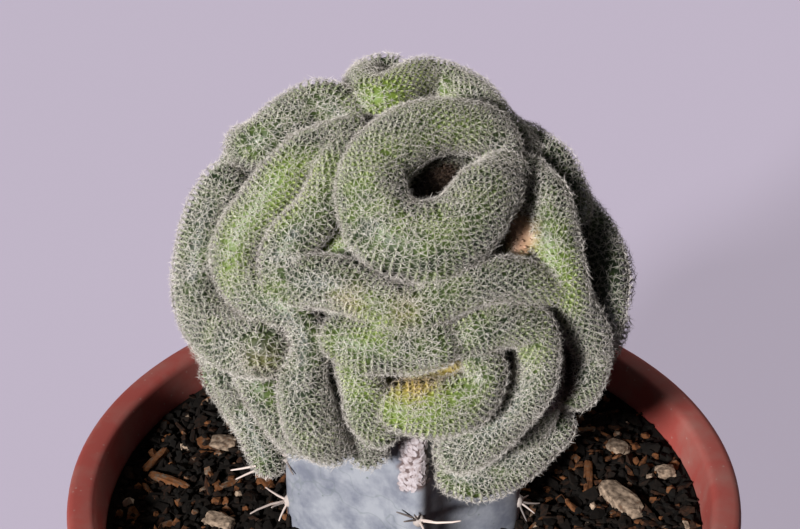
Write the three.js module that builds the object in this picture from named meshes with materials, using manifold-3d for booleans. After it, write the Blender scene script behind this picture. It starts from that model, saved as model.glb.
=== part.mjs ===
// A potted crested mammillaria grafted on a ribbed rootstock
// Millimetres, +Z up. The pot stands on z = 0 with its axis on the origin and the front is towards -Y.

import * as THREE from 'three';
import Module from 'manifold-3d';

const wasm = await Module();
wasm.setup();

// Pot: a round 15 cm nursery pot with a turned-over rim
const POT_HEIGHT = 118;
const RIM_RADIUS = 75;
const WALL = 2.2;
const FOOT_RADIUS = 50;
const FOOT_INNER_RADIUS = 40;
const FLOOR_UNDERSIDE = 3;
const FLOOR_TOP = 6;
const SKIRT_BOTTOM = 100.5;
const POT_SIDES = 40;
const DRAIN_HOLES = 5;
const DRAIN_RADIUS = 4.5;
const DRAIN_CIRCLE = 27;

// Potting mix: fills the pot to a little below the rim
const SOIL_TOP = POT_HEIGHT - 9;
const SOIL_GAP = 0.32;
const SOIL_BUMP = 0.8;
const CHIP_COUNT = 38;

// Rootstock: a ribbed column, cut flat where the crest is grafted on
const STOCK_BOTTOM = 82;
const STOCK_TOP = POT_HEIGHT + 29;
const STOCK_GAP = 0.35;
const STOCK_SIDES = 34;
const AREOLE_HEIGHTS = [POT_HEIGHT - 3, POT_HEIGHT + 9.2];
const STOCK_SPINE_RADIUS = 0.32;

// Crest: sausage-like folds that wind over a ball
const HEAD = new THREE.Vector3(-0.5, 0, POT_HEIGHT + 52.6);
const LINE_RADIUS = 42;
const CORE_RADIUS = 37;
const KEEL_RADIUS = 33;
const FOLD_STEP = 5.2;
const FOLD_ARC_POINTS = 6;
const TUBERCLE_RISE = 0.08;
const SPINE_LENGTH = 2.3;
const SPINE_RADIUS = 0.17;
const SPINE_SPACING = 10.2;

// Camera of the photograph, found from the pot's rim: eye, tilt and focal length in picture points
const EYE = new THREE.Vector3(-0.88, -297.9, POT_HEIGHT + 244.1);
const TILT = THREE.MathUtils.degToRad(32.28);
const FOCAL = 1700;
const PICTURE_CENTRE = [400, 264.5];

// Folds seen in the photograph: picture x, picture y, lift off the ball, radius
const SEEN_FOLDS = {
  crown_ring: [
    [499, 148, -2, 3.4], [491, 136, -1, 4.2], [470, 128, 1, 5], [436, 127, 2, 5.4],
    [401, 140, 2, 6], [377, 168, 2, 6.3], [371, 203, 2.5, 6.4], [390, 238, 2.5, 6.6],
    [428, 249, 2.5, 6.7], [462, 229, 2.5, 6.5], [483, 199, 2, 6.2], [502, 176, 0.5, 5],
  ],
  crown_back: [
    [400, 76, -3, 3.4], [385, 68, -2, 3.8], [367, 72, -1.5, 4], [360, 88, -0.5, 4.2],
    [377, 97, 0, 4.2], [401, 87, 0, 4.5], [428, 80, -0.5, 4.7], [456, 88, -1, 4.7],
    [480, 108, -1.5, 4.7], [503, 134, -2, 4.6], [518, 152, -3, 4.4],
  ],
  shoulder_left: [
    [350, 117, -2, 3.8], [336, 106, 0, 4.6], [314, 104, 1.5, 5], [284, 122, 2.2, 4.9],
    [260, 141, 2.5, 4.8], [240, 144, 2, 4.5],
  ],
  shoulder_left_back: [
    [258, 140, -2, 3.6], [276, 122, -2, 3.6], [294, 110, -2, 3.8],
  ],
  sweep_left: [
    [352, 132, -2, 3.4], [330, 141, -1, 3.8], [303, 158, 0, 4.6], [280, 184, 0, 5.2],
    [257, 214, 0, 5.1], [240, 243, 0, 5], [238, 270, 0, 5], [256, 294, 0, 4.8], [284, 308, 0, 4.2],
    [303, 325, -0.3, 3.7], [309, 348, -0.5, 3.6], [303, 374, -0.5, 4.7], [307, 398, -0.5, 5.4],
    [316, 424, -1, 5.7], [330, 442, -2, 4.8],
  ],
  middle_band: [
    [344, 148, -1.5, 3.4], [331, 178, -0.5, 3.9], [320, 208, 0, 4.5], [300, 232, 0.5, 4.8],
    [284, 258, 0, 4.6], [292, 281, 0, 4.8], [320, 280, 0.5, 5], [350, 286, 0.5, 5],
    [382, 303, 0.5, 4.7], [415, 308, 0.5, 4.5], [448, 294, 0.5, 4.5], [485, 281, 0.5, 4.3],
    [520, 281, 0.5, 4.2], [545, 288, 0, 3.8],
  ],
  second_band: [
    [346, 338, 0, 4.8], [375, 346, 0.5, 5.2], [405, 348, 0.5, 5], [436, 344, 0.5, 4.6],
  ],
  lower_arch: [
    [464, 336, 0, 3.9], [480, 330, 0.5, 4.3], [506, 324, 0.5, 4.5], [530, 328, 0.5, 4.6],
    [537, 354, 0.5, 4.3], [533, 382, 0.5, 4.1], [517, 406, 0, 4.4], [490, 432, -0.5, 4.8],
    [463, 449, -1.5, 4.8],
  ],
  lower_centre: [
    [405, 406, 0, 5.2], [430, 407, 0, 5.8], [464, 399, 0, 5.6], [486, 374, 0, 4],
    [478, 352, -0.5, 3.6],
  ],
  finger_left: [
    [350, 362, -0.5, 4.4], [357, 388, -0.5, 4.3], [362, 412, -1, 4.1], [377, 436, -1.5, 4.1],
  ],
  skirt_left: [
    [231, 374, -1, 3.7], [238, 401, -1, 3.8], [256, 428, -1.5, 3.8], [267, 462, -2.5, 3.6],
  ],
  skirt_left_inner: [
    [254, 372, -1, 4.2], [268, 394, -0.5, 4.4], [284, 418, -1, 4.2], [298, 438, -2, 3.8],
  ],
  outer_left: [
    [229, 186, 1.5, 4.6], [215, 213, 2.5, 5], [203, 245, 3, 4.9], [198, 280, 3.2, 5],
    [206, 313, 3, 5.5], [233, 339, 2, 5.9], [268, 347, 0.8, 5.7],
  ],
  right_fold: [
    [528, 178, -1, 3.8], [545, 202, 0, 4.6], [553, 235, 0.5, 4.9], [560, 268, 0.5, 4.8],
    [569, 298, 0, 4.5], [580, 328, -0.5, 3.9], [588, 355, -1, 3.5], [592, 366, -2, 3.1],
  ],
  right_curl: [
    [603, 238, 1, 3.6], [604, 264, 2.2, 4.2], [599, 290, 2.2, 4.2], [587, 312, 1, 3.8],
    [584, 330, 0, 3.4],
  ],
  right_edge: [
    [604, 236, 2, 4], [610, 262, 3, 4.4], [609, 282, 2.5, 4.2],
  ],
  right_edge_ball: [
    [600, 322, 1, 3.8], [609, 316, 1.5, 3.8], [604, 330, 0.5, 3.6],
  ],
  back_right: [
    [530, 156, -1, 4.1], [547, 156, 0, 4.2], [561, 169, 1, 4.4], [569, 186, 1, 4.3],
    [567, 200, 0, 4],
  ],
  back_right_low: [
    [580, 198, 0, 3.8], [589, 206, 1.5, 4.2], [594, 224, 2, 4.4], [600, 244, 2, 4.2],
  ],
  skirt_right: [
    [554, 428, -1.5, 4.1], [533, 448, -1.5, 4.5], [505, 466, -1.5, 4.8], [476, 477, -2, 5],
    [459, 474, -2.5, 4.6],
  ],
  skirt_right_deep: [
    [576, 338, -1, 4.4], [575, 372, -0.5, 4.8], [562, 398, -1.5, 4.8],
  ],
};

// Folds round the sides and the back: turn from the front, height angle, lift off the ball, radius
const HIDDEN_FOLDS = {
  wrap_1: [
    [94, -42, -0.5, 5], [92, -22, -0.5, 5.2], [91, -5, 0, 5], [95, 6, 0, 4.8], [105, 8, 0, 4.8],
    [112, -2, 0, 5], [112, -20, 0, 5.2], [107, -42, 0, 5],
  ],
  side_low: [
    [80, -42, -1.5, 4.8], [79, -28, -1.5, 5], [79, -14, -2, 4.6],
  ],
  side_left: [
    [281, 27, -2, 4.6], [278, 9, -1, 4.8], [281, -8, -1, 4.8], [284, -22, -2, 4.8],
    [286, -40, -3, 4.4],
  ],
  wrap_2: [
    [125, -42, 0, 5], [124, -22, 0, 5], [129, -5, 0, 5], [143, 1, 0, 5.2], [157, -5, 0, 5],
    [161, -22, 0, 5], [157, -42, 0, 4.8],
  ],
  wrap_3: [
    [141, -42, 0, 5.2], [142, -26, 0, 5], [143, -14, 0, 4.8],
  ],
  wrap_4: [
    [84, 20, -1, 4.8], [97, 22, 0, 5], [112, 16, 0, 5], [127, 13, 0, 5], [143, 17, 0, 5.2],
    [159, 11, 0, 5], [172, 4, 0, 5], [178, -10, 0, 5], [176, -26, 0, 5], [173, -42, 0, 4.8],
  ],
  wrap_5: [
    [192, -42, 0, 5], [193, -22, 0, 5.2], [190, -2, 0, 5], [197, 12, 0, 5], [210, 12, 0, 5],
    [213, -4, 0, 5], [210, -22, 0, 5.2], [207, -42, 0, 5],
  ],
  wrap_6: [
    [224, -42, 0, 5], [228, -22, 0, 5], [229, -5, 0, 5], [240, 5, 0, 5], [253, 1, 0, 5],
    [258, -13, 0, 5], [257, -28, 0, 5.2], [255, -42, 0, 5],
  ],
  wrap_6b: [
    [239, -42, 0, 5], [242, -26, 0, 5], [243, -12, 0, 4.6],
  ],
  wrap_7: [
    [184, 22, 0, 5], [197, 28, 0, 5], [212, 28, 0, 5.2], [226, 19, 0, 5], [240, 21, 0, 5],
    [255, 17, -0.5, 5], [268, 9, -0.5, 4.8], [271, -7, -0.5, 5], [272, -25, -0.5, 5],
    [271, -42, -0.5, 4.8],
  ],
  wrap_8: [
    [94, 26, 0, 4.6], [106, 29, 0, 4.8], [120, 31, 0, 5], [135, 33, 0, 5.2], [151, 32, 0, 5.2],
    [165, 25, 0, 5], [176, 36, 0, 5], [167, 48, 0, 5.2], [146, 50, 0, 5], [126, 47, 0, 5],
    [108, 48, 0, 4.8],
  ],
  wrap_9: [
    [190, 42, 0, 5], [206, 43, 0, 5], [222, 37, 0, 5], [238, 36, 0, 5], [254, 32, -0.5, 5],
    [266, 24, -1, 4.8],
  ],
  wrap_10: [
    [262, 48, -1, 4.6], [244, 51, -0.5, 5], [222, 53, 0, 5], [200, 59, 0, 5.2], [176, 64, 0, 5.2],
    [148, 66, 0, 5], [120, 64, 0, 4.8], [95, 62, 0, 4.6],
  ],
  crown_middle: [
    [250, 76, -4, 4.6], [125, 74, -3, 4.6],
  ],
  under_left: [
    [-11, -13, -2, 4.2], [-13, -26, 0, 4.4], [-14, -41, 0, 4.2],
  ],
  under_middle: [
    [5, -16, -1, 4.2], [5, -28, 0, 4.4], [5, -43, 0, 4.2],
  ],
  under_right: [
    [22, -14, -2, 4.2], [23, -27, 0, 4.6], [22, -42, 0, 4.2],
  ],
  side_left_low: [
    [297, -2, -1.5, 4.4], [299, -14, -1.5, 4.4],
  ],
};

// Hollows and swellings of the ball: turn, height angle, depth, half-width in degrees
const HOLLOWS = [
  [140, 46, 6, 24],
  [206, 52, 4, 17],
  [106, 24, 3.2, 17],
  [258, 24, 1.4, 14],
  [48, -40, -3.5, 16],
  [290, 14, -2.5, 14],
  [72, 12, -1.5, 12],
  [62, -14, -1.5, 14],
  [5, -30, 10.5, 17],
];

// Rootstock's section: turn from the front, radius of the rib or the valley there
const STOCK_SECTION = [
  [7, 25.6], [16, 22.6], [40, 19], [64, 23.6], [78, 26.6], [92, 23.6], [113, 19.4], [134, 23], [148, 26.2],
  [162, 23], [183, 19.4], [204, 23], [218, 26.2], [232, 23.2], [250, 20], [268, 24], [282, 26.8], [297, 24.2],
  [322, 20.2], [345, 20.4], [358, 23.4],
];
const RIBS = [7, 78, 148, 218, 282];

// Spines of one rootstock areole: sideways turn, upward turn, length
const STOCK_SPINES = [[-62, 8, 9.5], [-38, -30, 6], [8, -48, 5], [48, -18, 6.5], [30, 34, 5], [-20, 30, 4.5]];

// Large chips seen on the mix: x, y, length, width, thickness, turn
const SEEN_CHIPS = [
  [-58.2, 15.6, 9.6, 2, 1.6, 62], [-54.2, 7.8, 10.5, 2.2, 1.6, -26], [42.8, 9.5, 11.5, 2.2, 1.8, 84],
  [49.4, 1.2, 13.6, 6, 3.2, -56], [-41.4, -6.6, 7.4, 4, 2.8, -24], [-42.8, 21.6, 6.8, 4.2, 2.6, -8],
  [51, 20, 5.6, 4, 2.4, -40], [61, 11, 4.6, 3.6, 2.4, 10], [-32, 7, 4.4, 3, 2.2, -50],
];

function seeded(seed) {
  let state = seed;
  return () => {
    state = (Math.imul(state, 1664525) + 1013904223) >>> 0;
    return state / 4294967296;
  };
}

function toward(turn, height) {
  // Direction from the turn round the axis, 0 at the front and 90 at the right, and the height angle
  const a = THREE.MathUtils.degToRad(turn);
  const e = THREE.MathUtils.degToRad(height);
  return new THREE.Vector3(Math.sin(a) * Math.cos(e), -Math.cos(a) * Math.cos(e), Math.sin(e));
}

function hollow(direction) {
  // Depth of the ball's hollows in a direction
  let depth = 0;
  for (const [turn, height, amount, spread] of HOLLOWS) {
    const angle = THREE.MathUtils.radToDeg(direction.angleTo(toward(turn, height)));
    depth += amount * Math.exp(-0.5 * (angle / spread) ** 2);
  }
  return depth;
}

function seen(x, y, lift) {
  // Place on the ball that the camera sees at a point of the picture
  const forward = new THREE.Vector3(0, Math.cos(TILT), -Math.sin(TILT));
  const up = new THREE.Vector3(0, Math.sin(TILT), Math.cos(TILT));
  const ray = forward.multiplyScalar(FOCAL).addScaledVector(up, PICTURE_CENTRE[1] - y);
  ray.x += x - PICTURE_CENTRE[0];
  ray.normalize();
  const from = EYE.clone().sub(HEAD);
  const b = from.dot(ray);
  const c = from.lengthSq() - (LINE_RADIUS + lift) ** 2;
  return EYE.clone().addScaledVector(ray, -b - Math.sqrt(Math.max(b * b - c, 0)));
}

function around(turn, height, lift) {
  const direction = toward(turn, height);
  return direction.clone().multiplyScalar(LINE_RADIUS - hollow(direction) + lift).add(HEAD);
}

function solid(positions, triangles) {
  // Welds the corners of a closed surface, turns it outward and makes a solid of it
  const known = new Map();
  const corners = [];
  const weld = positions.map((p) => {
    const xyz = [p.x, p.y, p.z].map((v) => Math.round(v * 1e4) / 1e4);
    const key = xyz.join(' ');
    if (!known.has(key)) {
      known.set(key, corners.length);
      corners.push(xyz);
    }
    return known.get(key);
  });
  const faces = [];
  let volume = 0;
  for (const [a, b, c] of triangles) {
    const [i, j, k] = [weld[a], weld[b], weld[c]];
    if (i !== j && j !== k && k !== i) {
      const [p, q, r] = [corners[i], corners[j], corners[k]];
      volume += p[0] * (q[1] * r[2] - q[2] * r[1]);
      volume += p[1] * (q[2] * r[0] - q[0] * r[2]);
      volume += p[2] * (q[0] * r[1] - q[1] * r[0]);
      faces.push([i, j, k]);
    }
  }
  const outward = volume < 0 ? faces.map(([i, j, k]) => [i, k, j]) : faces;
  return new wasm.Manifold(new wasm.Mesh({
    numProp: 3,
    vertProperties: new Float32Array(corners.flat()),
    triVerts: new Uint32Array(outward.flat()),
  }));
}

function fromGeometry(geometry) {
  const place = geometry.getAttribute('position');
  const positions = [];
  for (let i = 0; i < place.count; i += 1) positions.push(new THREE.Vector3().fromBufferAttribute(place, i));
  const index = geometry.index.array;
  const triangles = [];
  for (let i = 0; i < index.length; i += 3) triangles.push([index[i], index[i + 1], index[i + 2]]);
  return solid(positions, triangles);
}

function stack(rings, first, last) {
  // Closed surface through rings of equal count, ended by the points first and last
  const count = rings[0].length;
  const positions = [...rings.flat(), first, last];
  const triangles = [];
  for (let i = 0; i + 1 < rings.length; i += 1) {
    for (let k = 0; k < count; k += 1) {
      const a = i * count + k;
      const b = i * count + ((k + 1) % count);
      const c = a + count;
      const d = b + count;
      if ((i + k) % 2 === 0) triangles.push([a, b, c], [b, d, c]);
      else triangles.push([a, b, d], [a, d, c]);
    }
  }
  const end = (rings.length - 1) * count;
  for (let k = 0; k < count; k += 1) {
    const next = (k + 1) % count;
    triangles.push([positions.length - 2, next, k]);
    triangles.push([positions.length - 1, end + k, end + next]);
  }
  return solid(positions, triangles);
}

function join(solids) {
  return wasm.Manifold.union(solids);
}

function largest(body) {
  // Leaves out closed pockets inside a body
  return body.decompose().sort((a, b) => b.volume() - a.volume())[0];
}

function mesh(name, body, colour, roughness) {
  // Node of a body, without the very short edges that joins and cuts leave
  const made = body.asOriginal().simplify(0.02).getMesh();
  const geometry = new THREE.BufferGeometry();
  geometry.setAttribute('position', new THREE.BufferAttribute(new Float32Array(made.vertProperties), 3));
  geometry.setIndex([...made.triVerts]);
  geometry.computeVertexNormals();
  const material = new THREE.MeshStandardMaterial({ color: colour, roughness, metalness: 0 });
  material.name = name;
  const node = new THREE.Mesh(geometry, material);
  node.name = name;
  return node;
}

function spike(from, direction, length, radius) {
  // Three-sided spine, its foot sunk below the point it stands on
  const cone = new THREE.ConeGeometry(radius, length + 0.8, 3, 1);
  cone.translate(0, (length + 0.8) / 2 - 0.8, 0);
  const turn = new THREE.Quaternion().setFromUnitVectors(new THREE.Vector3(0, 1, 0), direction);
  cone.applyQuaternion(turn);
  cone.translate(from.x, from.y, from.z);
  return fromGeometry(cone);
}

// Pot
const potWallTop = new THREE.Vector2(RIM_RADIUS - 7.2, POT_HEIGHT - 6);
const potWallFoot = new THREE.Vector2(FOOT_RADIUS - WALL, FLOOR_TOP + 0.6);

function innerWall(z) {
  const share = (z - potWallFoot.y) / (potWallTop.y - potWallFoot.y);
  return THREE.MathUtils.lerp(potWallFoot.x, potWallTop.x, share);
}

const potProfile = [
  [0, FLOOR_UNDERSIDE], [FOOT_INNER_RADIUS - 0.8, FLOOR_UNDERSIDE], [FOOT_INNER_RADIUS, 0],
  [FOOT_RADIUS - 0.6, 0], [FOOT_RADIUS, 0.7],
  [innerWall(SKIRT_BOTTOM) + WALL, SKIRT_BOTTOM], [RIM_RADIUS - 5.1, POT_HEIGHT - 5.8],
  [RIM_RADIUS - 3, POT_HEIGHT - 5.8], [RIM_RADIUS - 2.5, SKIRT_BOTTOM],
  [RIM_RADIUS - 1, SKIRT_BOTTOM], [RIM_RADIUS - 0.6, SKIRT_BOTTOM + 1.4],
  [RIM_RADIUS, POT_HEIGHT - 4], [RIM_RADIUS, POT_HEIGHT - 2.3], [RIM_RADIUS - 0.7, POT_HEIGHT - 0.7],
  [RIM_RADIUS - 2.1, POT_HEIGHT], [RIM_RADIUS - 4.6, POT_HEIGHT], [RIM_RADIUS - 6.1, POT_HEIGHT - 0.6],
  [RIM_RADIUS - 6.9, POT_HEIGHT - 2], [potWallTop.x, potWallTop.y], [potWallFoot.x, potWallFoot.y],
  [potWallFoot.x - 0.7, FLOOR_TOP], [0, FLOOR_TOP],
].map(([r, z]) => new THREE.Vector2(r, z));

function turned(profile, sides) {
  return fromGeometry(new THREE.LatheGeometry(profile, sides).rotateX(Math.PI / 2));
}

function buildPot() {
  let pot = turned(potProfile, POT_SIDES);
  for (let i = 0; i < DRAIN_HOLES; i += 1) {
    const angle = (2 * Math.PI * (i + 0.5)) / DRAIN_HOLES;
    const drill = new THREE.CylinderGeometry(DRAIN_RADIUS, DRAIN_RADIUS, 12, 12).rotateX(Math.PI / 2);
    drill.translate(DRAIN_CIRCLE * Math.cos(angle), DRAIN_CIRCLE * Math.sin(angle), 4);
    pot = pot.subtract(fromGeometry(drill));
  }
  return pot;
}

// Rootstock
const sectionCurve = new THREE.CatmullRomCurve3(
  STOCK_SECTION.map(([turn, radius]) => toward(turn, 0).multiplyScalar(radius)), true, 'centripetal');

function stockRing(z, grow) {
  // Section of the rootstock at one height, moved outward by grow
  const ring = [];
  for (let i = 0; i < STOCK_SIDES; i += 1) {
    const p = sectionCurve.getPointAt(i / STOCK_SIDES);
    const tangent = sectionCurve.getTangentAt(i / STOCK_SIDES);
    const outward = new THREE.Vector3(tangent.y, -tangent.x, 0).normalize();
    if (outward.dot(p) < 0) outward.negate();
    ring.push(p.addScaledVector(outward, grow).setZ(z));
  }
  return ring;
}

function stockColumn(bottom, top, grow) {
  return stack([stockRing(bottom, grow), stockRing(top, grow)],
    new THREE.Vector3(0, 0, bottom), new THREE.Vector3(0, 0, top));
}

function buildRootstock() {
  const rings = [];
  const levels = [0, 0.45, 0.6, 0.75, 0.88, 0.985, 1];
  const inset = [-1.5, -0.3, 0, -0.15, 0, 0, -0.9];
  levels.forEach((share, i) => rings.push(stockRing(THREE.MathUtils.lerp(STOCK_BOTTOM, STOCK_TOP, share), inset[i])));
  const body = stack(rings, new THREE.Vector3(0, 0, STOCK_BOTTOM), new THREE.Vector3(0, 0, STOCK_TOP));
  const pieces = [body];
  const random = seeded(21);
  for (const turn of RIBS) {
    const radius = Math.max(...STOCK_SECTION.filter(([t]) => t === turn).map(([, r]) => r), 25.6);
    AREOLE_HEIGHTS.forEach((z, level) => {
      const out = toward(turn, 0);
      const foot = out.clone().multiplyScalar(radius - 0.5).setZ(z - (turn % 3));
      const cushion = new THREE.IcosahedronGeometry(1.3, 0);
      cushion.scale(1, 0.7, 1.15);
      cushion.rotateZ(THREE.MathUtils.degToRad(turn));
      cushion.translate(foot.x, foot.y, foot.z);
      pieces.push(fromGeometry(indexed(cushion)));
      for (const [sideways, upward, length] of STOCK_SPINES) {
        const lean = level === 0 ? Math.max(upward, -12) : Math.min(upward, 22);
        const way = toward(turn + sideways + 16 * (random() - 0.5), lean + 8 * (random() - 0.5));
        pieces.push(spike(foot, way, length * (0.85 + 0.3 * random()), STOCK_SPINE_RADIUS));
      }
    });
  }
  for (let i = 0; i < 13; i += 1) {
    const z = POT_HEIGHT + 16.5 + 10 * random();
    const turn = 4 + 9 * (random() - 0.5);
    const plate = new THREE.IcosahedronGeometry(1.5 + 0.7 * random(), 0);
    plate.scale(1, 0.42, 1.1);
    plate.rotateY(3 * random());
    plate.rotateZ(THREE.MathUtils.degToRad(turn) + 0.5 * (random() - 0.5));
    const place = toward(turn, 0).multiplyScalar(24.7).setZ(z);
    plate.translate(place.x, place.y, place.z);
    pieces.push(fromGeometry(indexed(plate)));
  }
  return largest(join(pieces));
}

function indexed(geometry) {
  // Gives a geometry without an index its plain one
  if (!geometry.index) geometry.setIndex([...Array(geometry.getAttribute('position').count).keys()]);
  return geometry;
}

// Potting mix
function chip(x, y, length, width, thickness, turn, random) {
  // Flake of bark or pumice half sunk in the mix, its corners moved a little
  const flake = new THREE.BoxGeometry(length, width, thickness);
  const place = flake.getAttribute('position');
  const moved = new Map();
  for (let i = 0; i < place.count; i += 1) {
    const key = [place.getX(i), place.getY(i), place.getZ(i)].join(' ');
    if (!moved.has(key)) moved.set(key, [0, 0, 0].map(() => 0.7 + 0.5 * random()));
    const [a, b, c] = moved.get(key);
    place.setXYZ(i, place.getX(i) * a, place.getY(i) * b, place.getZ(i) * c);
  }
  flake.rotateX(0.5 * (random() - 0.5));
  flake.rotateY(0.4 * (random() - 0.5));
  flake.rotateZ(THREE.MathUtils.degToRad(turn));
  flake.translate(x, y, SOIL_TOP + 0.25 * thickness);
  return fromGeometry(flake);
}

function buildPottingMix() {
  const random = seeded(7);
  const sides = POT_SIDES;
  const ring = (radius, z, bump) => {
    const points = [];
    for (let k = 0; k < sides; k += 1) {
      const a = (2 * Math.PI * k) / sides;
      points.push(new THREE.Vector3(radius * Math.cos(a), radius * Math.sin(a), z + bump * (random() - 0.5)));
    }
    return points;
  };
  const edge = innerWall(SOIL_TOP) - SOIL_GAP;
  const rings = [
    ring(potWallFoot.x - 1.6, FLOOR_TOP + SOIL_GAP, 0),
    ring(edge, SOIL_TOP, 0),
    ring(edge - 6, SOIL_TOP, SOIL_BUMP),
    ring(edge - 12, SOIL_TOP, SOIL_BUMP),
    ring(edge - 18, SOIL_TOP + 0.3, SOIL_BUMP),
    ring(edge - 25, SOIL_TOP + 0.4, SOIL_BUMP),
    ring(edge - 33, SOIL_TOP + 0.5, SOIL_BUMP),
  ];
  const body = stack(rings, new THREE.Vector3(0, 0, FLOOR_TOP + SOIL_GAP), new THREE.Vector3(0, 0, SOIL_TOP));
  const pieces = [body];
  for (const [x, y, length, width, thickness, turn] of SEEN_CHIPS) {
    pieces.push(chip(x, y, length, width, thickness, turn, random));
  }
  for (let i = 0; i < CHIP_COUNT; i += 1) {
    const angle = 2 * Math.PI * (i * 0.618034 + 0.08 * random());
    const radius = 31 + 30 * Math.sqrt((i + 0.5) / CHIP_COUNT);
    const length = 2.5 + 4.5 * random();
    const size = [length, 1.2 + 0.45 * length * random(), 1.2 + 1.4 * random()];
    pieces.push(chip(radius * Math.cos(angle), radius * Math.sin(angle), ...size, 180 * random(), random));
  }
  const hole = stockColumn(STOCK_BOTTOM - STOCK_GAP, SOIL_TOP + 30, STOCK_GAP);
  return largest(join(pieces).subtract(hole));
}

// Crest
const folds = [
  ...Object.values(SEEN_FOLDS).map((route) => route.map(([x, y, lift, r]) => [seen(x, y, lift), r])),
  ...Object.values(HIDDEN_FOLDS).map((route) => route.map(([turn, height, lift, r]) => [around(turn, height, lift), r])),
];

function foldStations(route) {
  // Even stations along a fold: centre, direction, outward and sideways directions, radius
  const curve = new THREE.CatmullRomCurve3(route.map(([p]) => p), false, 'centripetal');
  const count = Math.max(2, Math.round(curve.getLength() / FOLD_STEP));
  const stations = [];
  for (let i = 0; i <= count; i += 1) {
    const t = curve.getUtoTmapping(i / count);
    const share = t * (route.length - 1);
    const k = Math.min(Math.floor(share), route.length - 2);
    const centre = curve.getPoint(t);
    const along = curve.getTangent(t);
    const out = centre.clone().sub(HEAD).normalize();
    out.addScaledVector(along, -out.dot(along)).normalize();
    const side = new THREE.Vector3().crossVectors(along, out);
    const radius = THREE.MathUtils.lerp(route[k][1], route[k + 1][1], THREE.MathUtils.smoothstep(share - k, 0, 1));
    stations.push({ centre, along, out, side, radius });
  }
  return stations;
}

const stations = folds.map(foldStations);

function foldRing({ centre, along, out, side, radius }, shift, scale, row) {
  // Ring of a fold: a round outer side with every second corner raised as a tubercle, and a keel inward
  const ring = [];
  const middle = centre.clone().addScaledVector(along, shift * radius);
  for (let k = 0; k < FOLD_ARC_POINTS; k += 1) {
    const angle = THREE.MathUtils.degToRad(-18 + (216 * k) / (FOLD_ARC_POINTS - 1));
    const size = radius * scale * (1 + ((row + k) % 2 === 0 ? TUBERCLE_RISE : -TUBERCLE_RISE));
    ring.push(middle.clone().addScaledVector(side, Math.cos(angle) * size).addScaledVector(out, Math.sin(angle) * size));
  }
  for (const edge of [-0.8, 0.8]) {
    const foot = middle.clone().addScaledVector(side, edge * radius * scale).sub(HEAD);
    ring.push(foot.multiplyScalar(KEEL_RADIUS / centre.distanceTo(HEAD)).add(HEAD));
  }
  return ring;
}

function fold(line) {
  const rings = [foldRing(line[0], -0.62, 0.76, 1)];
  line.forEach((station, i) => rings.push(foldRing(station, 0, 1, i)));
  const tail = line[line.length - 1];
  rings.push(foldRing(tail, 0.62, 0.76, line.length));
  const first = line[0].centre.clone().addScaledVector(line[0].along, -0.98 * line[0].radius);
  const last = tail.centre.clone().addScaledVector(tail.along, 0.98 * tail.radius);
  return stack(rings, first, last);
}

function core() {
  // Ball under the folds, following its hollows
  const ball = new THREE.IcosahedronGeometry(1, 3);
  const place = ball.getAttribute('position');
  for (let i = 0; i < place.count; i += 1) {
    const direction = new THREE.Vector3().fromBufferAttribute(place, i).normalize();
    direction.multiplyScalar(CORE_RADIUS - hollow(direction)).add(HEAD);
    place.setXYZ(i, direction.x, direction.y, direction.z);
  }
  return fromGeometry(indexed(ball));
}

function buried(point, own) {
  // Whether a point lies inside a fold other than its own
  return stations.some((line, i) => i !== own
    && line.some(({ centre, radius }) => centre.distanceTo(point) < radius * 1.04));
}

function crestSpines() {
  // Spines on the flanks of the tubercles, each far enough from those kept before it
  const random = seeded(5);
  const spots = [];
  stations.forEach((line, own) => line.slice(1).forEach((station, row) => {
    const before = foldRing(line[row], 0, 1, row);
    const ring = foldRing(station, 0, 1, row + 1);
    for (let k = 0; k + 1 < FOLD_ARC_POINTS; k += 1) {
      const even = (row + k) % 2 === 0;
      const point = before[k].clone().add(before[k + 1]).add(even ? ring[k] : ring[k + 1]).divideScalar(3);
      const out = point.clone().sub(station.centre).normalize();
      if (!buried(point.clone().addScaledVector(out, 0.3), own)) spots.push({ point, out, order: random() });
    }
  }));
  spots.sort((a, b) => a.order - b.order);
  const kept = [];
  for (const spot of spots) {
    if (kept.every(({ point }) => point.distanceTo(spot.point) > SPINE_SPACING)) kept.push(spot);
  }
  return kept.map(({ point, out }) => {
    const lean = new THREE.Vector3(random() - 0.5, random() - 0.5, random() - 0.5).multiplyScalar(0.9);
    return spike(point, out.clone().add(lean).normalize(), SPINE_LENGTH * (0.85 + 0.3 * random()), SPINE_RADIUS);
  });
}

function buildCrest() {
  const body = join([core(), ...stations.map(fold)]).asOriginal().simplify(0.1);
  const scarRoom = new THREE.BoxGeometry(15, 20, 40).translate(3, -25, POT_HEIGHT + 9);
  const seat = stockColumn(POT_HEIGHT - 10, STOCK_TOP + STOCK_GAP, STOCK_GAP)
    .add(stockColumn(POT_HEIGHT - 10, POT_HEIGHT + 30, 1.7).intersect(fromGeometry(scarRoom)));
  const rooms = join([largest(body), ...crestSpines()]);
  return largest(rooms.subtract(seat));
}

const group = new THREE.Group();
group.name = 'potted_crested_mammillaria';
group.add(mesh('pot', buildPot(), 0xa8554a, 0.55));
group.add(mesh('potting_mix', buildPottingMix(), 0x3a2a20, 0.95));
group.add(mesh('rootstock', buildRootstock(), 0x9fa8b4, 0.6));
group.add(mesh('crest', buildCrest(), 0x7f8f62, 0.85));

export default group;
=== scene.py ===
# %% [markdown]
# A crested mammillaria in its pot. The real object is a brain-like ball of winding, woolly folds,
# grafted on the stump of a ribbed blue column that stands in a round plastic pot of dark bark mix.
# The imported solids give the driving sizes. This script loads them first, keeps their box, and then
# grows a finer surface over each of them.

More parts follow.
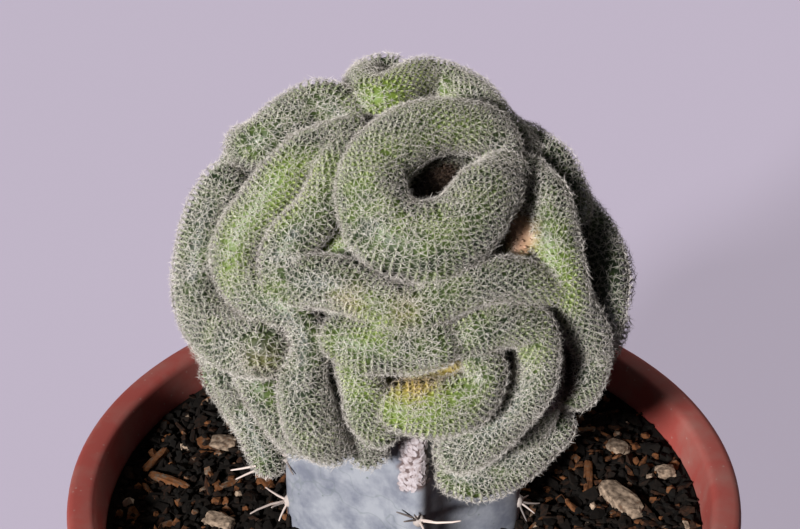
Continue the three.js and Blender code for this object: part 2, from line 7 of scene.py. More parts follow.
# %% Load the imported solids
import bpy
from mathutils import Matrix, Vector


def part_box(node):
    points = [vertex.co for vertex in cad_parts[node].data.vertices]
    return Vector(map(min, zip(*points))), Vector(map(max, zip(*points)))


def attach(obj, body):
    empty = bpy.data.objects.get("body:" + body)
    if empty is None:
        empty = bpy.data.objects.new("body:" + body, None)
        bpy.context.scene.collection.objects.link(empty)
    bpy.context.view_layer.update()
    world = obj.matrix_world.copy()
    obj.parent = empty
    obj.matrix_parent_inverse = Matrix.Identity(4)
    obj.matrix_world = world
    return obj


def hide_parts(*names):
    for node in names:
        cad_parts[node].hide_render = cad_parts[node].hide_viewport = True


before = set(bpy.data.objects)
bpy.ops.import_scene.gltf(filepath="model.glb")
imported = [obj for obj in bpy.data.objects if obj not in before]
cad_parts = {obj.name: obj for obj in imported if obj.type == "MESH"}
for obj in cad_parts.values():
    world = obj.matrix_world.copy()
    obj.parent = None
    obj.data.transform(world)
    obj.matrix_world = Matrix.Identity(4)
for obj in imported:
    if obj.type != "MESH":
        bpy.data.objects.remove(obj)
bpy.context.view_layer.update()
print("solids:", ", ".join(sorted(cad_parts)))

# %% [markdown]
# Blender counts in metres, but a cactus is easier to think of in millimetres. So every size below is
# in millimetres, and one helper turns points into a mesh in metres. The frame gives the driving
# sizes: the pot's height and rim, and the top of the rootstock, where the graft is.

# %% Units and driving sizes
import math

import bmesh
import bpy
import numpy as np
from mathutils import Vector, bvhtree, kdtree, noise

MM = 0.001
POT_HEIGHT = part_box("pot")[1].z / MM
RIM_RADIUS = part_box("pot")[1].x / MM
GRAFT_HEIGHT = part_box("rootstock")[1].z / MM
STOCK_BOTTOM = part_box("rootstock")[0].z / MM
SOIL_TOP = POT_HEIGHT - 9
print("pot", round(POT_HEIGHT, 1), "mm high, rim radius", round(RIM_RADIUS, 1), "mm")


def new_object(name, points, faces=(), edges=()):
    """Mesh object from points in millimetres."""
    mesh = bpy.data.meshes.new(name)
    mesh.from_pydata([tuple(p) for p in np.asarray(points) * MM], list(edges), list(faces))
    return placed(name, mesh)


def placed(name, mesh):
    """Object of a mesh, put in the scene at the origin."""
    piece = bpy.data.objects.new(name, mesh)
    bpy.context.scene.collection.objects.link(piece)
    return piece


def settled(source, name):
    """Plain mesh of an object with its modifiers worked out. The source is removed."""
    graph = bpy.context.evaluated_depsgraph_get()
    mesh = bpy.data.meshes.new_from_object(
        source.evaluated_get(graph), preserve_all_data_layers=True, depsgraph=graph)
    bpy.data.objects.remove(source)
    mesh.name = name
    print(name, len(mesh.vertices), "points")
    return placed(name, mesh)


def shade_smooth(mesh):
    """Lets the light run evenly over the edges of a mesh."""
    for polygon in mesh.polygons:
        polygon.use_smooth = True


# %% [markdown]
# The camera comes first, because much of the crest is placed by where the photograph shows it. The
# ellipse of the pot's rim gives the camera: its height, its tilt and a long lens. A picture point
# and a height off the ball then give one place in space, on the side that the camera sees.

# %% Camera of the photograph
EYE = np.array([-0.88, -297.9, POT_HEIGHT + 244.1])
TILT = math.radians(32.28)
FOCAL = 1700
PICTURE = (800, 529)
SENSOR = 36

camera_data = bpy.data.cameras.new("photo_camera")
camera_data.sensor_width = SENSOR
camera_data.lens = FOCAL * SENSOR / PICTURE[0]
camera_data.clip_start = 0.01
camera = bpy.data.objects.new("photo_camera", camera_data)
camera.location = EYE * MM
camera.rotation_euler = (math.pi / 2 - TILT, 0, 0)
bpy.context.scene.collection.objects.link(camera)
bpy.context.scene.camera = camera
print("lens", camera_data.lens, "mm")


def toward(turn, height):
    """Direction from a turn round the axis, 0 in front and 90 on the right, and a height angle."""
    a, e = math.radians(turn), math.radians(height)
    return np.array([math.sin(a) * math.cos(e), -math.cos(a) * math.cos(e), math.sin(e)])


def ray(x, y):
    """Direction from the camera through a picture point."""
    forward = np.array([0, math.cos(TILT), -math.sin(TILT)])
    up = np.array([0, math.sin(TILT), math.cos(TILT)])
    way = forward * FOCAL + up * (PICTURE[1] / 2 - y) + np.array([x - PICTURE[0] / 2, 0, 0])
    return way / np.linalg.norm(way)


# %% [markdown]
# The crest is a ball of folds. On a crested cactus the growing point has become a growing line, and
# the line folds up as it lengthens, so each fold is a long, round sausage of skin. Sculpting could
# make such folds too, but listed routes put each one where the photograph shows it and stay easy
# to change. The routes of the folds in view are picture points with a lift off the ball and a
# radius. Those round the sides and the back have a turn, a height angle, a lift and a radius, and
# fill the ball in the same manner. A few broad hollows dent the ball under them.

# %% Routes of the folds
HEAD = np.array([-0.5, 0, POT_HEIGHT + 52.6])
LINE_RADIUS = 42
CORE_RADIUS = 37.5

# Picture x, picture y, lift off the ball, radius
SEEN_FOLDS = {
    "crown_ring": [(500, 150, -1, 4.2), (491, 136, 0.3, 4.8), (470, 128, 1.6, 5.2), (436, 127, 2, 5.4),
        (401, 140, 2, 6), (377, 168, 2, 6.3), (373, 203, 2.5, 6.8), (392, 233, 2.4, 7.2),
        (429, 241, 2.4, 7.5), (463, 226, 2.5, 6.9), (483, 199, 2, 6.2), (502, 176, 0.5, 5)],
    "crown_back": [(400, 79, -3, 3.4), (388, 73, -2, 3.8), (372, 77, -1.5, 4), (366, 91, -0.5, 4.2),
        (380, 99, 0, 4.2), (402, 88, 0, 4.5), (428, 83, -0.5, 5), (454, 92, -1, 5.4),
        (477, 111, -1.5, 5.4), (499, 135, -2, 5), (517, 152, -3, 4.6)],
    "shoulder_left": [(350, 117, -2, 3.8), (336, 107, 0, 4.6), (314, 106, 1.4, 5), (285, 124, 2.1, 4.9),
        (263, 143, 2.4, 4.7), (246, 147, 1.8, 4.3)],
    "shoulder_left_back": [(260, 143, -2, 3.6), (278, 125, -2, 3.6), (296, 113, -2, 3.8)],
    "sweep_left": [(352, 132, -2, 3.4), (330, 141, -1, 3.8), (303, 158, 0, 4.6), (280, 184, 0, 5.2),
        (257, 214, 0, 5.1), (240, 243, 0, 5), (238, 270, 0, 5), (256, 294, 0, 4.8), (284, 308, 0, 4.2),
        (303, 325, -0.3, 3.7), (309, 348, 0, 3.8), (302, 374, 0.4, 4.6), (305, 398, 0.6, 5),
        (314, 424, -0.4, 5.5), (330, 442, -2, 4.8)],
    "middle_band": [(344, 148, -1.5, 3.4), (331, 178, -0.5, 3.9), (320, 208, 0, 4.5), (300, 232, 0.5, 4.8),
        (284, 258, 0, 4.6), (292, 281, 0, 4.8), (320, 280, 0.5, 5), (350, 286, 0.5, 5),
        (382, 303, 0.5, 4.7), (415, 308, 0.5, 4.5), (448, 294, 0.5, 4.5), (485, 281, 0.5, 4.3),
        (520, 281, 0.5, 4.2), (545, 288, 0, 3.8)],
    "second_band": [(346, 338, 0, 4.8), (375, 346, 0.5, 5.2), (405, 348, 0.5, 5), (436, 344, 0.5, 4.6)],
    "lower_arch": [(464, 336, 0, 3.9), (480, 330, 0.5, 4.3), (506, 324, 0.5, 4.5), (530, 328, 0.5, 4.6),
        (537, 354, 0.5, 4.3), (533, 382, 0.5, 4.1), (517, 406, 0, 4.4), (490, 432, -0.5, 4.8),
        (463, 449, -1.5, 4.8)],
    "lower_centre": [(405, 406, 0, 5.2), (430, 407, 0, 5.8), (464, 399, 0, 5.6), (486, 374, 0, 4),
        (478, 352, -0.5, 3.6)],
    "finger_left": [(357, 362, -0.6, 4.4), (364, 388, -0.6, 4.3), (367, 408, -0.8, 4.2),
        (378, 426, -1.3, 4.2)],
    "skirt_left": [(231, 374, -1, 3.7), (238, 401, -1, 3.8), (256, 428, -1.5, 3.9), (268, 458, -2.5, 3.8)],
    "skirt_left_inner": [(254, 372, -1, 4.2), (268, 394, -0.5, 4.4), (284, 418, -1, 4.2),
        (298, 438, -2, 3.8)],
    "outer_left": [(224, 188, 2.5, 5), (211, 212, 3.1, 5.1), (203, 245, 3.1, 5), (198, 280, 3.2, 5),
        (206, 313, 3, 5.5), (233, 339, 2.8, 6), (266, 348, 2, 5.8)],
    "right_fold": [(528, 178, -0.5, 3.9), (545, 202, 0.8, 4.8), (552, 235, 1.4, 5.1), (559, 268, 1.2, 4.8),
        (569, 298, 0.4, 4.5), (582, 324, 0.6, 4.4), (590, 347, 1.2, 4.3), (587, 368, 1.7, 4.3),
        (578, 388, 1.4, 4.2)],
    "skirt_right": [(554, 428, -1.5, 4.1), (533, 448, -1.5, 4.5), (505, 466, -1.5, 4.8), (476, 477, -2, 5),
        (459, 474, -2.5, 4.6)],
    "ring_floor": [(424, 186, -6.5, 4.4), (440, 178, -7.5, 4.4), (456, 170, -9, 4.2)],
    "bald_web": [(514, 206, -3, 4), (519, 232, -3, 4.2), (516, 250, -4, 4)],
}

# Turn from the front, height angle, lift off the ball, radius
HIDDEN_FOLDS = {
    "wrap_1": [(94, -42, -0.5, 5), (92, -22, -0.5, 5.2), (91, -5, 0, 5), (95, 6, 0, 4.8), (105, 8, 0, 4.8),
        (112, -2, 0, 5), (112, -20, 0, 5.2), (107, -42, 0, 5)],
    "side_low": [(77, -42, -2, 4.8), (79, -29, -1.2, 4.9), (79, -16, 0, 4.7), (76, -6, 0.4, 4.2)],
    "groove_right": [(47, 2, -6, 4), (48, -8, -5.5, 4.4), (48, -20, -5, 4.6), (46, -33, -4, 4.6)],
    "skirt_right_inner": [(66, -40, -2.5, 4.6), (52, -43, -3, 4.8), (38, -46, -3, 4.6)],
    "side_left": [(281, 27, -2, 4.6), (278, 9, -1, 4.8), (281, -8, -1, 4.8), (284, -22, -2, 4.8),
        (286, -40, -3, 4.4)],
    "wrap_2": [(125, -42, 0, 5), (124, -22, 0, 5), (129, -5, 0, 5), (143, 1, 0, 5.2), (157, -5, 0, 5),
        (161, -22, 0, 5), (157, -42, 0, 4.8)],
    "wrap_3": [(141, -42, 0, 5.2), (142, -26, 0, 5), (143, -14, 0, 4.8)],
    "wrap_4": [(74, 4, 0.3, 4.2), (78, 9, 0.7, 4.6), (86, 13, 0.2, 4.8), (98, 17, -0.2, 5),
        (112, 16, 0, 5), (127, 13, 0, 5), (143, 17, 0, 5.2), (159, 11, 0, 5), (172, 4, 0, 5),
        (178, -10, 0, 5), (176, -26, 0, 5), (173, -42, 0, 4.8)],
    "wrap_5": [(192, -42, 0, 5), (193, -22, 0, 5.2), (190, -2, 0, 5), (197, 12, 0, 5), (210, 12, 0, 5),
        (213, -4, 0, 5), (210, -22, 0, 5.2), (207, -42, 0, 5)],
    "wrap_6": [(224, -42, 0, 5), (228, -22, 0, 5), (229, -5, 0, 5), (240, 5, 0, 5), (253, 1, 0, 5),
        (258, -13, 0, 5), (257, -28, 0, 5.2), (255, -42, 0, 5)],
    "wrap_6b": [(239, -42, 0, 5), (242, -26, 0, 5), (243, -12, 0, 4.6)],
    "wrap_7": [(184, 22, 0, 5), (197, 28, 0, 5), (212, 28, 0, 5.2), (226, 19, 0, 5), (240, 21, 0, 5),
        (255, 17, -0.5, 5), (268, 9, -0.5, 4.8), (271, -7, -0.5, 5), (272, -25, -0.5, 5),
        (271, -42, -0.5, 4.8)],
    "wrap_8": [(68, -3, -0.6, 3.8), (67, 5, 0.6, 4.2), (70, 14, 1, 4.4), (77, 20, 0.5, 4.5),
        (88, 27, -0.3, 4.6), (98, 30, 0, 4.8), (108, 30, 0, 4.8), (120, 31, 0, 5), (135, 33, 0, 5.2),
        (151, 32, 0, 5.2), (165, 25, 0, 5), (176, 36, 0, 5), (167, 48, 0, 5.2), (146, 50, 0, 5),
        (126, 47, 0, 5), (108, 48, 0, 4.8), (94, 49, 0.6, 4.7), (84, 44, 1.5, 4.7),
        (78, 38, 1.2, 4.5), (73, 33, 0, 4.2)],
    "wrap_9": [(190, 42, 0, 5), (206, 43, 0, 5), (222, 37, 0, 5), (238, 36, 0, 5), (254, 32, -0.5, 5),
        (266, 24, -1, 4.8)],
    "wrap_10": [(262, 48, -1, 4.6), (244, 51, -0.5, 5), (222, 53, 0, 5), (200, 59, 0, 5.2),
        (176, 64, -0.5, 5.2), (148, 66, -1, 5), (120, 64, -2.5, 4.6), (95, 62, -4.5, 4)],
    "crown_middle": [(250, 76, -4, 4.6), (125, 74, -3, 4.6)],
    "under_left": [(-11, -13, -2, 4.2), (-13, -26, 0, 4.4), (-14, -41, 0, 4.2)],
    "under_right": [(22, -14, -2, 4.2), (23, -27, 0, 4.6), (22, -42, 0, 4.2)],
    "skirt_left_back": [(290, -20, -0.5, 4.6), (294, -31, 0, 4.8), (300, -40, 0.8, 4.6)],
    "side_left_low": [(297, -2, -1.5, 4.4), (299, -14, -1.5, 4.4)],
}

# Turn, height angle, depth, half-width in degrees
HOLLOWS = [
    (140, 46, 6, 24), (206, 52, 4, 17), (106, 24, 3.2, 17), (258, 24, 1.4, 14), (48, -40, -3.5, 16),
    (290, 14, -2.5, 14), (72, 12, -1.5, 12), (62, -14, -1.5, 14), (5, -30, 10.5, 17),
]
print(len(SEEN_FOLDS), "folds in view,", len(HIDDEN_FOLDS), "round the sides and the back")

# %% [markdown]
# A route in view runs where the camera's lines through its picture points meet the ball. One out of
# view is placed by its directions, and lower where the ball has a hollow.

# %% Places on the ball
def hollow(direction):
    """Depth of the ball's hollows in a direction."""
    depth = 0
    for turn, height, amount, spread in HOLLOWS:
        angle = math.degrees(math.acos(np.clip(direction @ toward(turn, height), -1, 1)))
        depth += amount * math.exp(-0.5 * (angle / spread) ** 2)
    return depth


def seen(x, y, lift):
    """Place on the ball that the camera sees at a picture point."""
    way, start = ray(x, y), EYE - HEAD
    b = start @ way
    c = start @ start - (LINE_RADIUS + lift) ** 2
    return EYE + way * (-b - math.sqrt(max(b * b - c, 0)))


def around(turn, height, lift):
    """Place on the ball in a direction."""
    direction = toward(turn, height)
    return HEAD + direction * (LINE_RADIUS - hollow(direction) + lift)


# %% [markdown]
# A smooth curve through a route's places gives the middle line of its fold. The curve is the
# centripetal kind, which never loops between close points.

# %% Smooth curves
CURVE_STEPS = 24


def curve_part(p0, p1, p2, p3, t):
    """Centripetal curve from p1 to p2."""
    a, b, c = [max(np.linalg.norm(q - p) ** 0.5, 1e-4) for p, q in ((p0, p1), (p1, p2), (p2, p3))]
    start = ((p1 - p0) / a - (p2 - p0) / (a + b) + (p2 - p1) / b) * b
    end = ((p2 - p1) / b - (p3 - p1) / (b + c) + (p3 - p2) / c) * b
    square = 3 * (p2 - p1) - 2 * start - end
    cube = 2 * (p1 - p2) + start + end
    return p1 + start * t + square * t**2 + cube * t**3


def traced(points, values, step, closed=False):
    """Even stations on the curve through the points, and the values eased along it."""
    points = [np.asarray(p, float) for p in points]
    if closed:
        ring = [points[-1], *points, points[0], points[1]]
        values = [*values, values[0]]
    else:
        ring = [2 * points[0] - points[1], *points, 2 * points[-1] - points[-2]]
    t = np.linspace(0, 1, CURVE_STEPS, endpoint=False)[:, None]
    ease = t[:, 0] ** 2 * (3 - 2 * t[:, 0])
    parts = [curve_part(*ring[k:k + 4], t) for k in range(len(ring) - 3)]
    path = np.vstack([*parts, ring[-2]])
    between = [values[k] + (values[k + 1] - values[k]) * ease for k in range(len(parts))]
    eased = np.hstack([*between, values[len(parts)]])
    reach = np.hstack([0, np.cumsum(np.linalg.norm(np.diff(path, axis=0), axis=1))])
    even = np.linspace(0, reach[-1], max(3, round(reach[-1] / step) + 1))
    stations = np.column_stack([np.interp(even, reach, path[:, i]) for i in range(3)])
    return stations, np.interp(even, reach, eased)


# %% [markdown]
# Each end of a middle line is drawn out by a few shrinking rings, so that a fold ends round like a
# fingertip.

# %% Middle lines of the folds
LINE_STEP = 1.1
END_SHARES = (0.35, 0.62, 0.82, 0.95)
# The skin that grows over a fold makes it thicker by about this much
COVER = 0.7


def unit(vectors):
    """Vectors made one long."""
    return vectors / np.linalg.norm(vectors, axis=-1, keepdims=True)


def fold_line(places, radii, step):
    """Middle line of a fold with its round ends: centres and radii."""
    centres, sizes = traced(places, radii, step)
    head_way, tail_way = unit(centres[0] - centres[1]), unit(centres[-1] - centres[-2])
    shrink = [math.sqrt(1 - s * s) for s in END_SHARES]
    before = [centres[0] + head_way * sizes[0] * s for s in END_SHARES][::-1]
    after = [centres[-1] + tail_way * sizes[-1] * s for s in END_SHARES]
    sizes = np.hstack([[sizes[0] * s for s in shrink[::-1]], sizes, [sizes[-1] * s for s in shrink]])
    return np.vstack([before, centres, after]), sizes


def route_places(route, place):
    """Places and bare radii along a route, with the function that finds a place on the ball."""
    return [place(*point[:3]) for point in route], [point[3] - COVER for point in route]


routes = [route_places(route, seen) for route in SEEN_FOLDS.values()]
routes += [route_places(route, around) for route in HIDDEN_FOLDS.values()]
lines = [fold_line(places, radii, LINE_STEP) for places, radii in routes]
print(len(lines), "folds,", round(sum(len(c) for c, _ in lines) * LINE_STEP), "mm in all")

# %% [markdown]
# Geometry Nodes sweep a ring along every middle line at once. The lines go in as loose edges with
# their radius stored on each point, so one tree makes all the sausages. The next helpers start a
# tree with named inputs, add a node with its settings and links, and run a tree on an object. A
# few nodes have sockets that share a name, so those are set by number: a Mix node mixes the colours
# 6 and 7 by factor 0 into output 2, and a Map Range node takes 1 to 2 and gives 3 to 4. A Random
# Value node's limits are 0 and 1 for a vector, 2 and 3 for a number, and 4 and 5 for a whole number.

# %% Helpers for node trees
# Settings that many nodes share
COLOUR = {"data_type": "RGBA"}
FLOAT = {"data_type": "FLOAT"}
VECTOR = {"data_type": "FLOAT_VECTOR"}
PRODUCT = {"operation": "MULTIPLY"}
SUM = {"operation": "ADD"}
LOCAL = {"rotation_space": "LOCAL"}


def add(tree, kind, settings=None, inputs=None):
    """Adds a node, sets its properties, and sets or links its inputs."""
    node = tree.nodes.new(kind)
    for name, value in (settings or {}).items():
        setattr(node, name, value)
    for key, value in (inputs or {}).items():
        if isinstance(value, bpy.types.NodeSocket):
            tree.links.new(value, node.inputs[key])
        else:
            node.inputs[key].default_value = value
    return node


def new_tree(name, **sizes):
    """Geometry tree with a named input for each size. The kind str stands for a material."""
    tree = bpy.data.node_groups.new(name, "GeometryNodeTree")
    tree.interface.new_socket("Geometry", in_out="INPUT", socket_type="NodeSocketGeometry")
    kinds = {int: "NodeSocketInt", float: "NodeSocketFloat", str: "NodeSocketMaterial",
             bpy.types.Collection: "NodeSocketCollection"}
    for size, kind in sizes.items():
        tree.interface.new_socket(size, in_out="INPUT", socket_type=kinds[kind])
    tree.interface.new_socket("Geometry", in_out="OUTPUT", socket_type="NodeSocketGeometry")
    return tree, tree.nodes.new("NodeGroupInput").outputs


def close_tree(tree, geometry, material):
    """Ends a tree in Realize Instances and Set Material."""
    real = add(tree, "GeometryNodeRealizeInstances", inputs={"Geometry": geometry})
    painted = add(tree, "GeometryNodeSetMaterial", inputs={
        "Geometry": real.outputs[0], "Material": material})
    add(tree, "NodeGroupOutput", inputs={0: painted.outputs[0]})


def grown(source, name, tree, **values):
    """Runs a tree on an object and keeps the result as a plain mesh."""
    modifier = source.modifiers.new("growth", "NODES")
    modifier.node_group = tree
    for item in tree.interface.items_tree:
        if item.in_out == "INPUT" and item.name in values:
            modifier[item.identifier] = values[item.name]
    return settled(source, name)


def store(mesh, name, kind, values):
    """Stores one value for each point of a mesh."""
    layer = mesh.attributes.new(name, kind, "POINT")
    layer.data.foreach_set("vector" if kind == "FLOAT_VECTOR" else "value", np.asarray(values).ravel())


# %% [markdown]
# Every finish below starts from what the real surface is. Colours are written as they look on a
# screen, in sRGB hex, and one function turns them into the linear values that light is worked out
# in. A material keeps its node tree small: a few noises drive colour, roughness and bump.

# %% Colours and the start of a material
def linear(code):
    """Linear colour from an sRGB hex value."""
    parts = [int(code[i:i + 2], 16) / 255 for i in (1, 3, 5)]
    return tuple(c / 12.92 if c <= 0.04045 else ((c + 0.055) / 1.055) ** 2.4 for c in parts) + (1,)


def new_material(name, roughness, ior=1.5):
    """Material with its shader and the Object coordinates that its patterns read."""
    material = bpy.data.materials.new(name)
    material.use_nodes = True
    tree = material.node_tree
    shader = tree.nodes["Principled BSDF"]
    shader.inputs["Roughness"].default_value = roughness
    shader.inputs["IOR"].default_value = ior
    place = tree.nodes.new("ShaderNodeTexCoord").outputs["Object"]
    print("finish", name)
    return material, tree, shader, place


def per_mm(size):
    """Scale of a texture, in cycles per metre, whose features are that many millimetres apart."""
    return 1 / (size * MM)


# %% [markdown]
# The crest's skin is living cactus flesh, bright green where it is young and dark green where it is
# old, and dark brown deep in the creases: partly corky skin, partly painted shade. It is slightly
# waxy, so its roughness is middling. Values that are worked out on the mesh drive its colour. Relief
# is low in the creases and high on the ridges, and the shade patches lower it as painted shade. Fresh
# is high where the folds are young, and rise goes from 0 at the foot of a tubercle to 1 at its tip,
# whose dark feet are partly painted shade and pale tips partly painted light. Ochre and bald mark the
# few places where the photograph shows yellow or bare skin.

# %% Skin of the crest
TIP_OLD, TIP_YOUNG = linear("#A9AC96"), linear("#BCC67C")
BED_OLD, BED_YOUNG = linear("#222E18"), linear("#667A2C")
# The crease colour is a dark brown: partly corky skin, partly painted shade in the creases
SKIN_CREASE_SHADE, SKIN_OCHRE, SKIN_BALD = linear("#2A1A12"), linear("#B5A050"), linear("#B48E74")
MOTTLE_SIZE = 3.5
# The cells of the skin are too fine to show, so its grain is drawn at 0.4 mm
GRAIN_SIZE = 0.4

# Cactus skin, grown, with a thin coat of wax: green with a soft sheen
crest_skin, tree, shader, place = new_material("crest_skin", 0.5, 1.45)
relief_in = add(tree, "ShaderNodeAttribute", {"attribute_name": "relief"}).outputs["Fac"]
fresh_in = add(tree, "ShaderNodeAttribute", {"attribute_name": "fresh"}).outputs["Fac"]
rise_in = add(tree, "ShaderNodeAttribute", {"attribute_name": "rise"}).outputs["Fac"]
ochre_in = add(tree, "ShaderNodeAttribute", {"attribute_name": "ochre"}).outputs["Fac"]
bald_in = add(tree, "ShaderNodeAttribute", {"attribute_name": "bald"}).outputs["Fac"]
mottle = add(tree, "ShaderNodeTexNoise", inputs={
    "Vector": place, "Scale": per_mm(MOTTLE_SIZE), "Detail": 3.0})
blotches = add(tree, "ShaderNodeMapRange", {}, {
    "Value": mottle.outputs["Fac"], 1: 0.3, 2: 0.7, 3: -0.25, 4: 0.25})
youth = add(tree, "ShaderNodeMath", {"operation": "ADD", "use_clamp": True}, {
    0: fresh_in, 1: blotches.outputs[0]})
# Pale tips and dark feet of the tubercles: partly the skin's own colour, partly painted light and shade
tips = add(tree, "ShaderNodeMix", COLOUR, {0: youth.outputs[0], 6: TIP_OLD, 7: TIP_YOUNG})
beds = add(tree, "ShaderNodeMix", COLOUR, {0: youth.outputs[0], 6: BED_OLD, 7: BED_YOUNG})
flesh = add(tree, "ShaderNodeMix", COLOUR, {0: rise_in, 6: beds.outputs[2], 7: tips.outputs[2]})
# Painted shade, partly real cork: the skin darkens to brown where relief is low, in the creases and the
# shade patches
crease_shade_share = add(tree, "ShaderNodeMapRange", {}, {"Value": relief_in, 1: -0.2, 2: -0.65})
flesh_with_crease_shade = add(tree, "ShaderNodeMix", COLOUR, {0: crease_shade_share.outputs[0], 6: flesh.outputs[2], 7: SKIN_CREASE_SHADE})
warm = add(tree, "ShaderNodeMix", COLOUR, {0: ochre_in, 6: flesh_with_crease_shade.outputs[2], 7: SKIN_OCHRE})
skin_colour = add(tree, "ShaderNodeMix", COLOUR, {0: bald_in, 6: warm.outputs[2], 7: SKIN_BALD})
grain = add(tree, "ShaderNodeTexNoise", inputs={
    "Vector": place, "Scale": per_mm(GRAIN_SIZE), "Detail": 2.0})
bump = add(tree, "ShaderNodeBump", inputs={
    "Strength": 0.3, "Distance": 0.1 * MM, "Height": grain.outputs["Fac"]})
tree.links.new(skin_colour.outputs[2], shader.inputs["Base Color"])
tree.links.new(bump.outputs[0], shader.inputs["Normal"])

# %% [markdown]
# The sausages and the ball under them are laid over each other and wrapped in one skin by a voxel
# remesh, as a growing plant fuses its folds. A Boolean union would fuse them too, but it leaves a
# seam of slivers along every joint. The cells are 0.8 mm, so a crease between two folds stays sharp.

# %% Folds swept and wrapped in one skin
FOLD_SIDES = 28
SKIN_CELL = 0.8

tree, group = new_tree("fold_sweep", Sides=int, Material=str)
curves = add(tree, "GeometryNodeMeshToCurve", inputs={"Mesh": group["Geometry"]})
radius = add(tree, "GeometryNodeInputNamedAttribute", FLOAT, {"Name": "fold_radius"})
circle = add(tree, "GeometryNodeCurvePrimitiveCircle", inputs={"Resolution": group["Sides"], "Radius": MM})
swept = add(tree, "GeometryNodeCurveToMesh", inputs={
    "Curve": curves.outputs[0], "Profile Curve": circle.outputs[0], "Scale": radius.outputs[0],
    "Fill Caps": True})
close_tree(tree, swept.outputs[0], group["Material"])

starts = np.cumsum([0] + [len(c) for c, _ in lines])
edges = [(i, i + 1) for a, b in zip(starts, starts[1:]) for i in range(a, b - 1)]
fold_lines = new_object("fold_lines", np.vstack([c for c, _ in lines]), edges=edges)
store(fold_lines.data, "fold_radius", "FLOAT", np.hstack([r for _, r in lines]))
folds = grown(fold_lines, "folds", tree, Sides=FOLD_SIDES, Material=crest_skin)

# %% One skin over the folds and the ball under them
wrap = bmesh.new()
bmesh.ops.create_icosphere(wrap, subdivisions=5, radius=1)
for vertex in wrap.verts:
    direction = np.array(vertex.co.normalized())
    vertex.co = Vector((HEAD + direction * (CORE_RADIUS - hollow(direction))) * MM)
wrap.from_mesh(folds.data)
wrap.to_mesh(folds.data)
wrap.free()
remesh = folds.modifiers.new("one skin", "REMESH")
remesh.mode = "VOXEL"
remesh.voxel_size = SKIN_CELL * MM
skin = settled(folds, "crest_skin")

# %% [markdown]
# The skin gets more sizes from its own mesh later, so two helpers come next: one reads the points
# and normals of a mesh, and one draws every point towards its neighbours, which smooths any value
# that the points carry.

# %% Reading and smoothing a mesh
def corners(mesh):
    """Points of a mesh in millimetres, and their normals."""
    points = np.empty(len(mesh.vertices) * 3, np.float32)
    normals = np.empty(len(mesh.vertices) * 3, np.float32)
    mesh.vertices.foreach_get("co", points)
    mesh.vertices.foreach_get("normal", normals)
    return points.reshape(-1, 3) / MM, normals.reshape(-1, 3)


def soften(points, edges, rounds):
    """Draws each point towards its neighbours, a number of times."""
    count = np.bincount(edges.ravel(), minlength=len(points))[:, None]
    start, end = edges[:, 0], edges[:, 1]
    for _ in range(rounds):
        total = np.column_stack([
            np.bincount(start, column[end], len(points)) + np.bincount(end, column[start], len(points))
            for column in points.T])
        points = 0.5 * points + 0.5 * total / count
    return points


# %% [markdown]
# The ball sits on the rootstock's flat cut, so a seat of the rootstock's own section is cut out of
# its underside. The section is a ring of five ribs, and the same curve shapes the rootstock later.

# %% Seat of the graft
STOCK_GAP = 0.35
SEAT_LEVELS = (GRAFT_HEIGHT - 40, GRAFT_HEIGHT + STOCK_GAP)
SEAT_COUNT = 120
# Turn from the front and radius of each rib and valley
STOCK_SECTION = [
    (7, 25.6), (16, 22.6), (40, 19), (64, 23.6), (78, 26.6), (92, 23.6), (113, 19.4), (134, 23),
    (148, 26.2), (162, 23), (183, 19.4), (204, 23), (218, 26.2), (232, 23.2), (250, 20), (268, 24),
    (282, 26.8), (297, 24.2), (322, 20.2), (345, 20.4), (358, 23.4),
]
section_corners = [toward(turn, 0) * radius for turn, radius in STOCK_SECTION]
section_points = traced(section_corners, [radius for _, radius in STOCK_SECTION], 1.0, closed=True)[0]


def section(z, grow, count):
    """Ring of the rootstock at one height, moved outward by grow."""
    pick = np.linspace(0, len(section_points) - 1, count, endpoint=False)
    steps = np.arange(len(section_points))
    ring = np.column_stack([np.interp(pick, steps, section_points[:, i]) for i in range(2)])
    along = np.roll(ring, -1, 0) - np.roll(ring, 1, 0)
    outward = unit(np.column_stack([along[:, 1], -along[:, 0]]))
    return np.column_stack([ring + outward * grow, np.full(count, z)])


def stacked(name, rings, first, last):
    """Closed surface through rings of equal count, ended by the points first and last."""
    count = len(rings[0])
    points = np.vstack([*rings, [first, last]])
    low, high = len(points) - 2, len(points) - 1
    faces = []
    for i in range(len(rings) - 1):
        for k in range(count):
            a, b = i * count + k, i * count + (k + 1) % count
            faces.append((a, b, b + count, a + count))
    end = (len(rings) - 1) * count
    faces += [(low, (k + 1) % count, k) for k in range(count)]
    faces += [(high, end + k, end + (k + 1) % count) for k in range(count)]
    return new_object(name, points, faces)


def cut_away(piece, cutter, name):
    """Piece with the cutter's shape taken out of it. The cutter is removed."""
    cut = piece.modifiers.new("cut", "BOOLEAN")
    cut.operation = "DIFFERENCE"
    cut.solver = "MANIFOLD"
    cut.object = cutter
    piece = settled(piece, name)
    bpy.data.objects.remove(cutter)
    return piece


seat_rings = [section(z, STOCK_GAP, SEAT_COUNT) for z in SEAT_LEVELS]
seat = stacked("seat", seat_rings, (0, 0, SEAT_LEVELS[0]), (0, 0, SEAT_LEVELS[1]))
skin = cut_away(skin, seat, "crest_skin")

# %% [markdown]
# No fold is even, so a slow noise swells and pinches the skin a little. Relief is then worked out
# from the mesh itself: how far each point stands out from the skin smoothed by sixty rounds, so it
# is negative in the creases. The creases are pushed in along it, which makes them deeper than the
# voxel skin could.

# %% Swelling, relief and creases
SWELL = 0.45
SWELL_LENGTH = 8.5
RELIEF_DEPTH = 2.2
RELIEF_ROUNDS = 60
CREASE_DEPTH = 2.2
CREASE_START = 0.15
CREASE_ROUNDS = 5


def move_points(mesh, points):
    """Puts the points of a mesh in new places."""
    mesh.vertices.foreach_set("co", (points * MM).astype(np.float32).ravel())
    mesh.update()


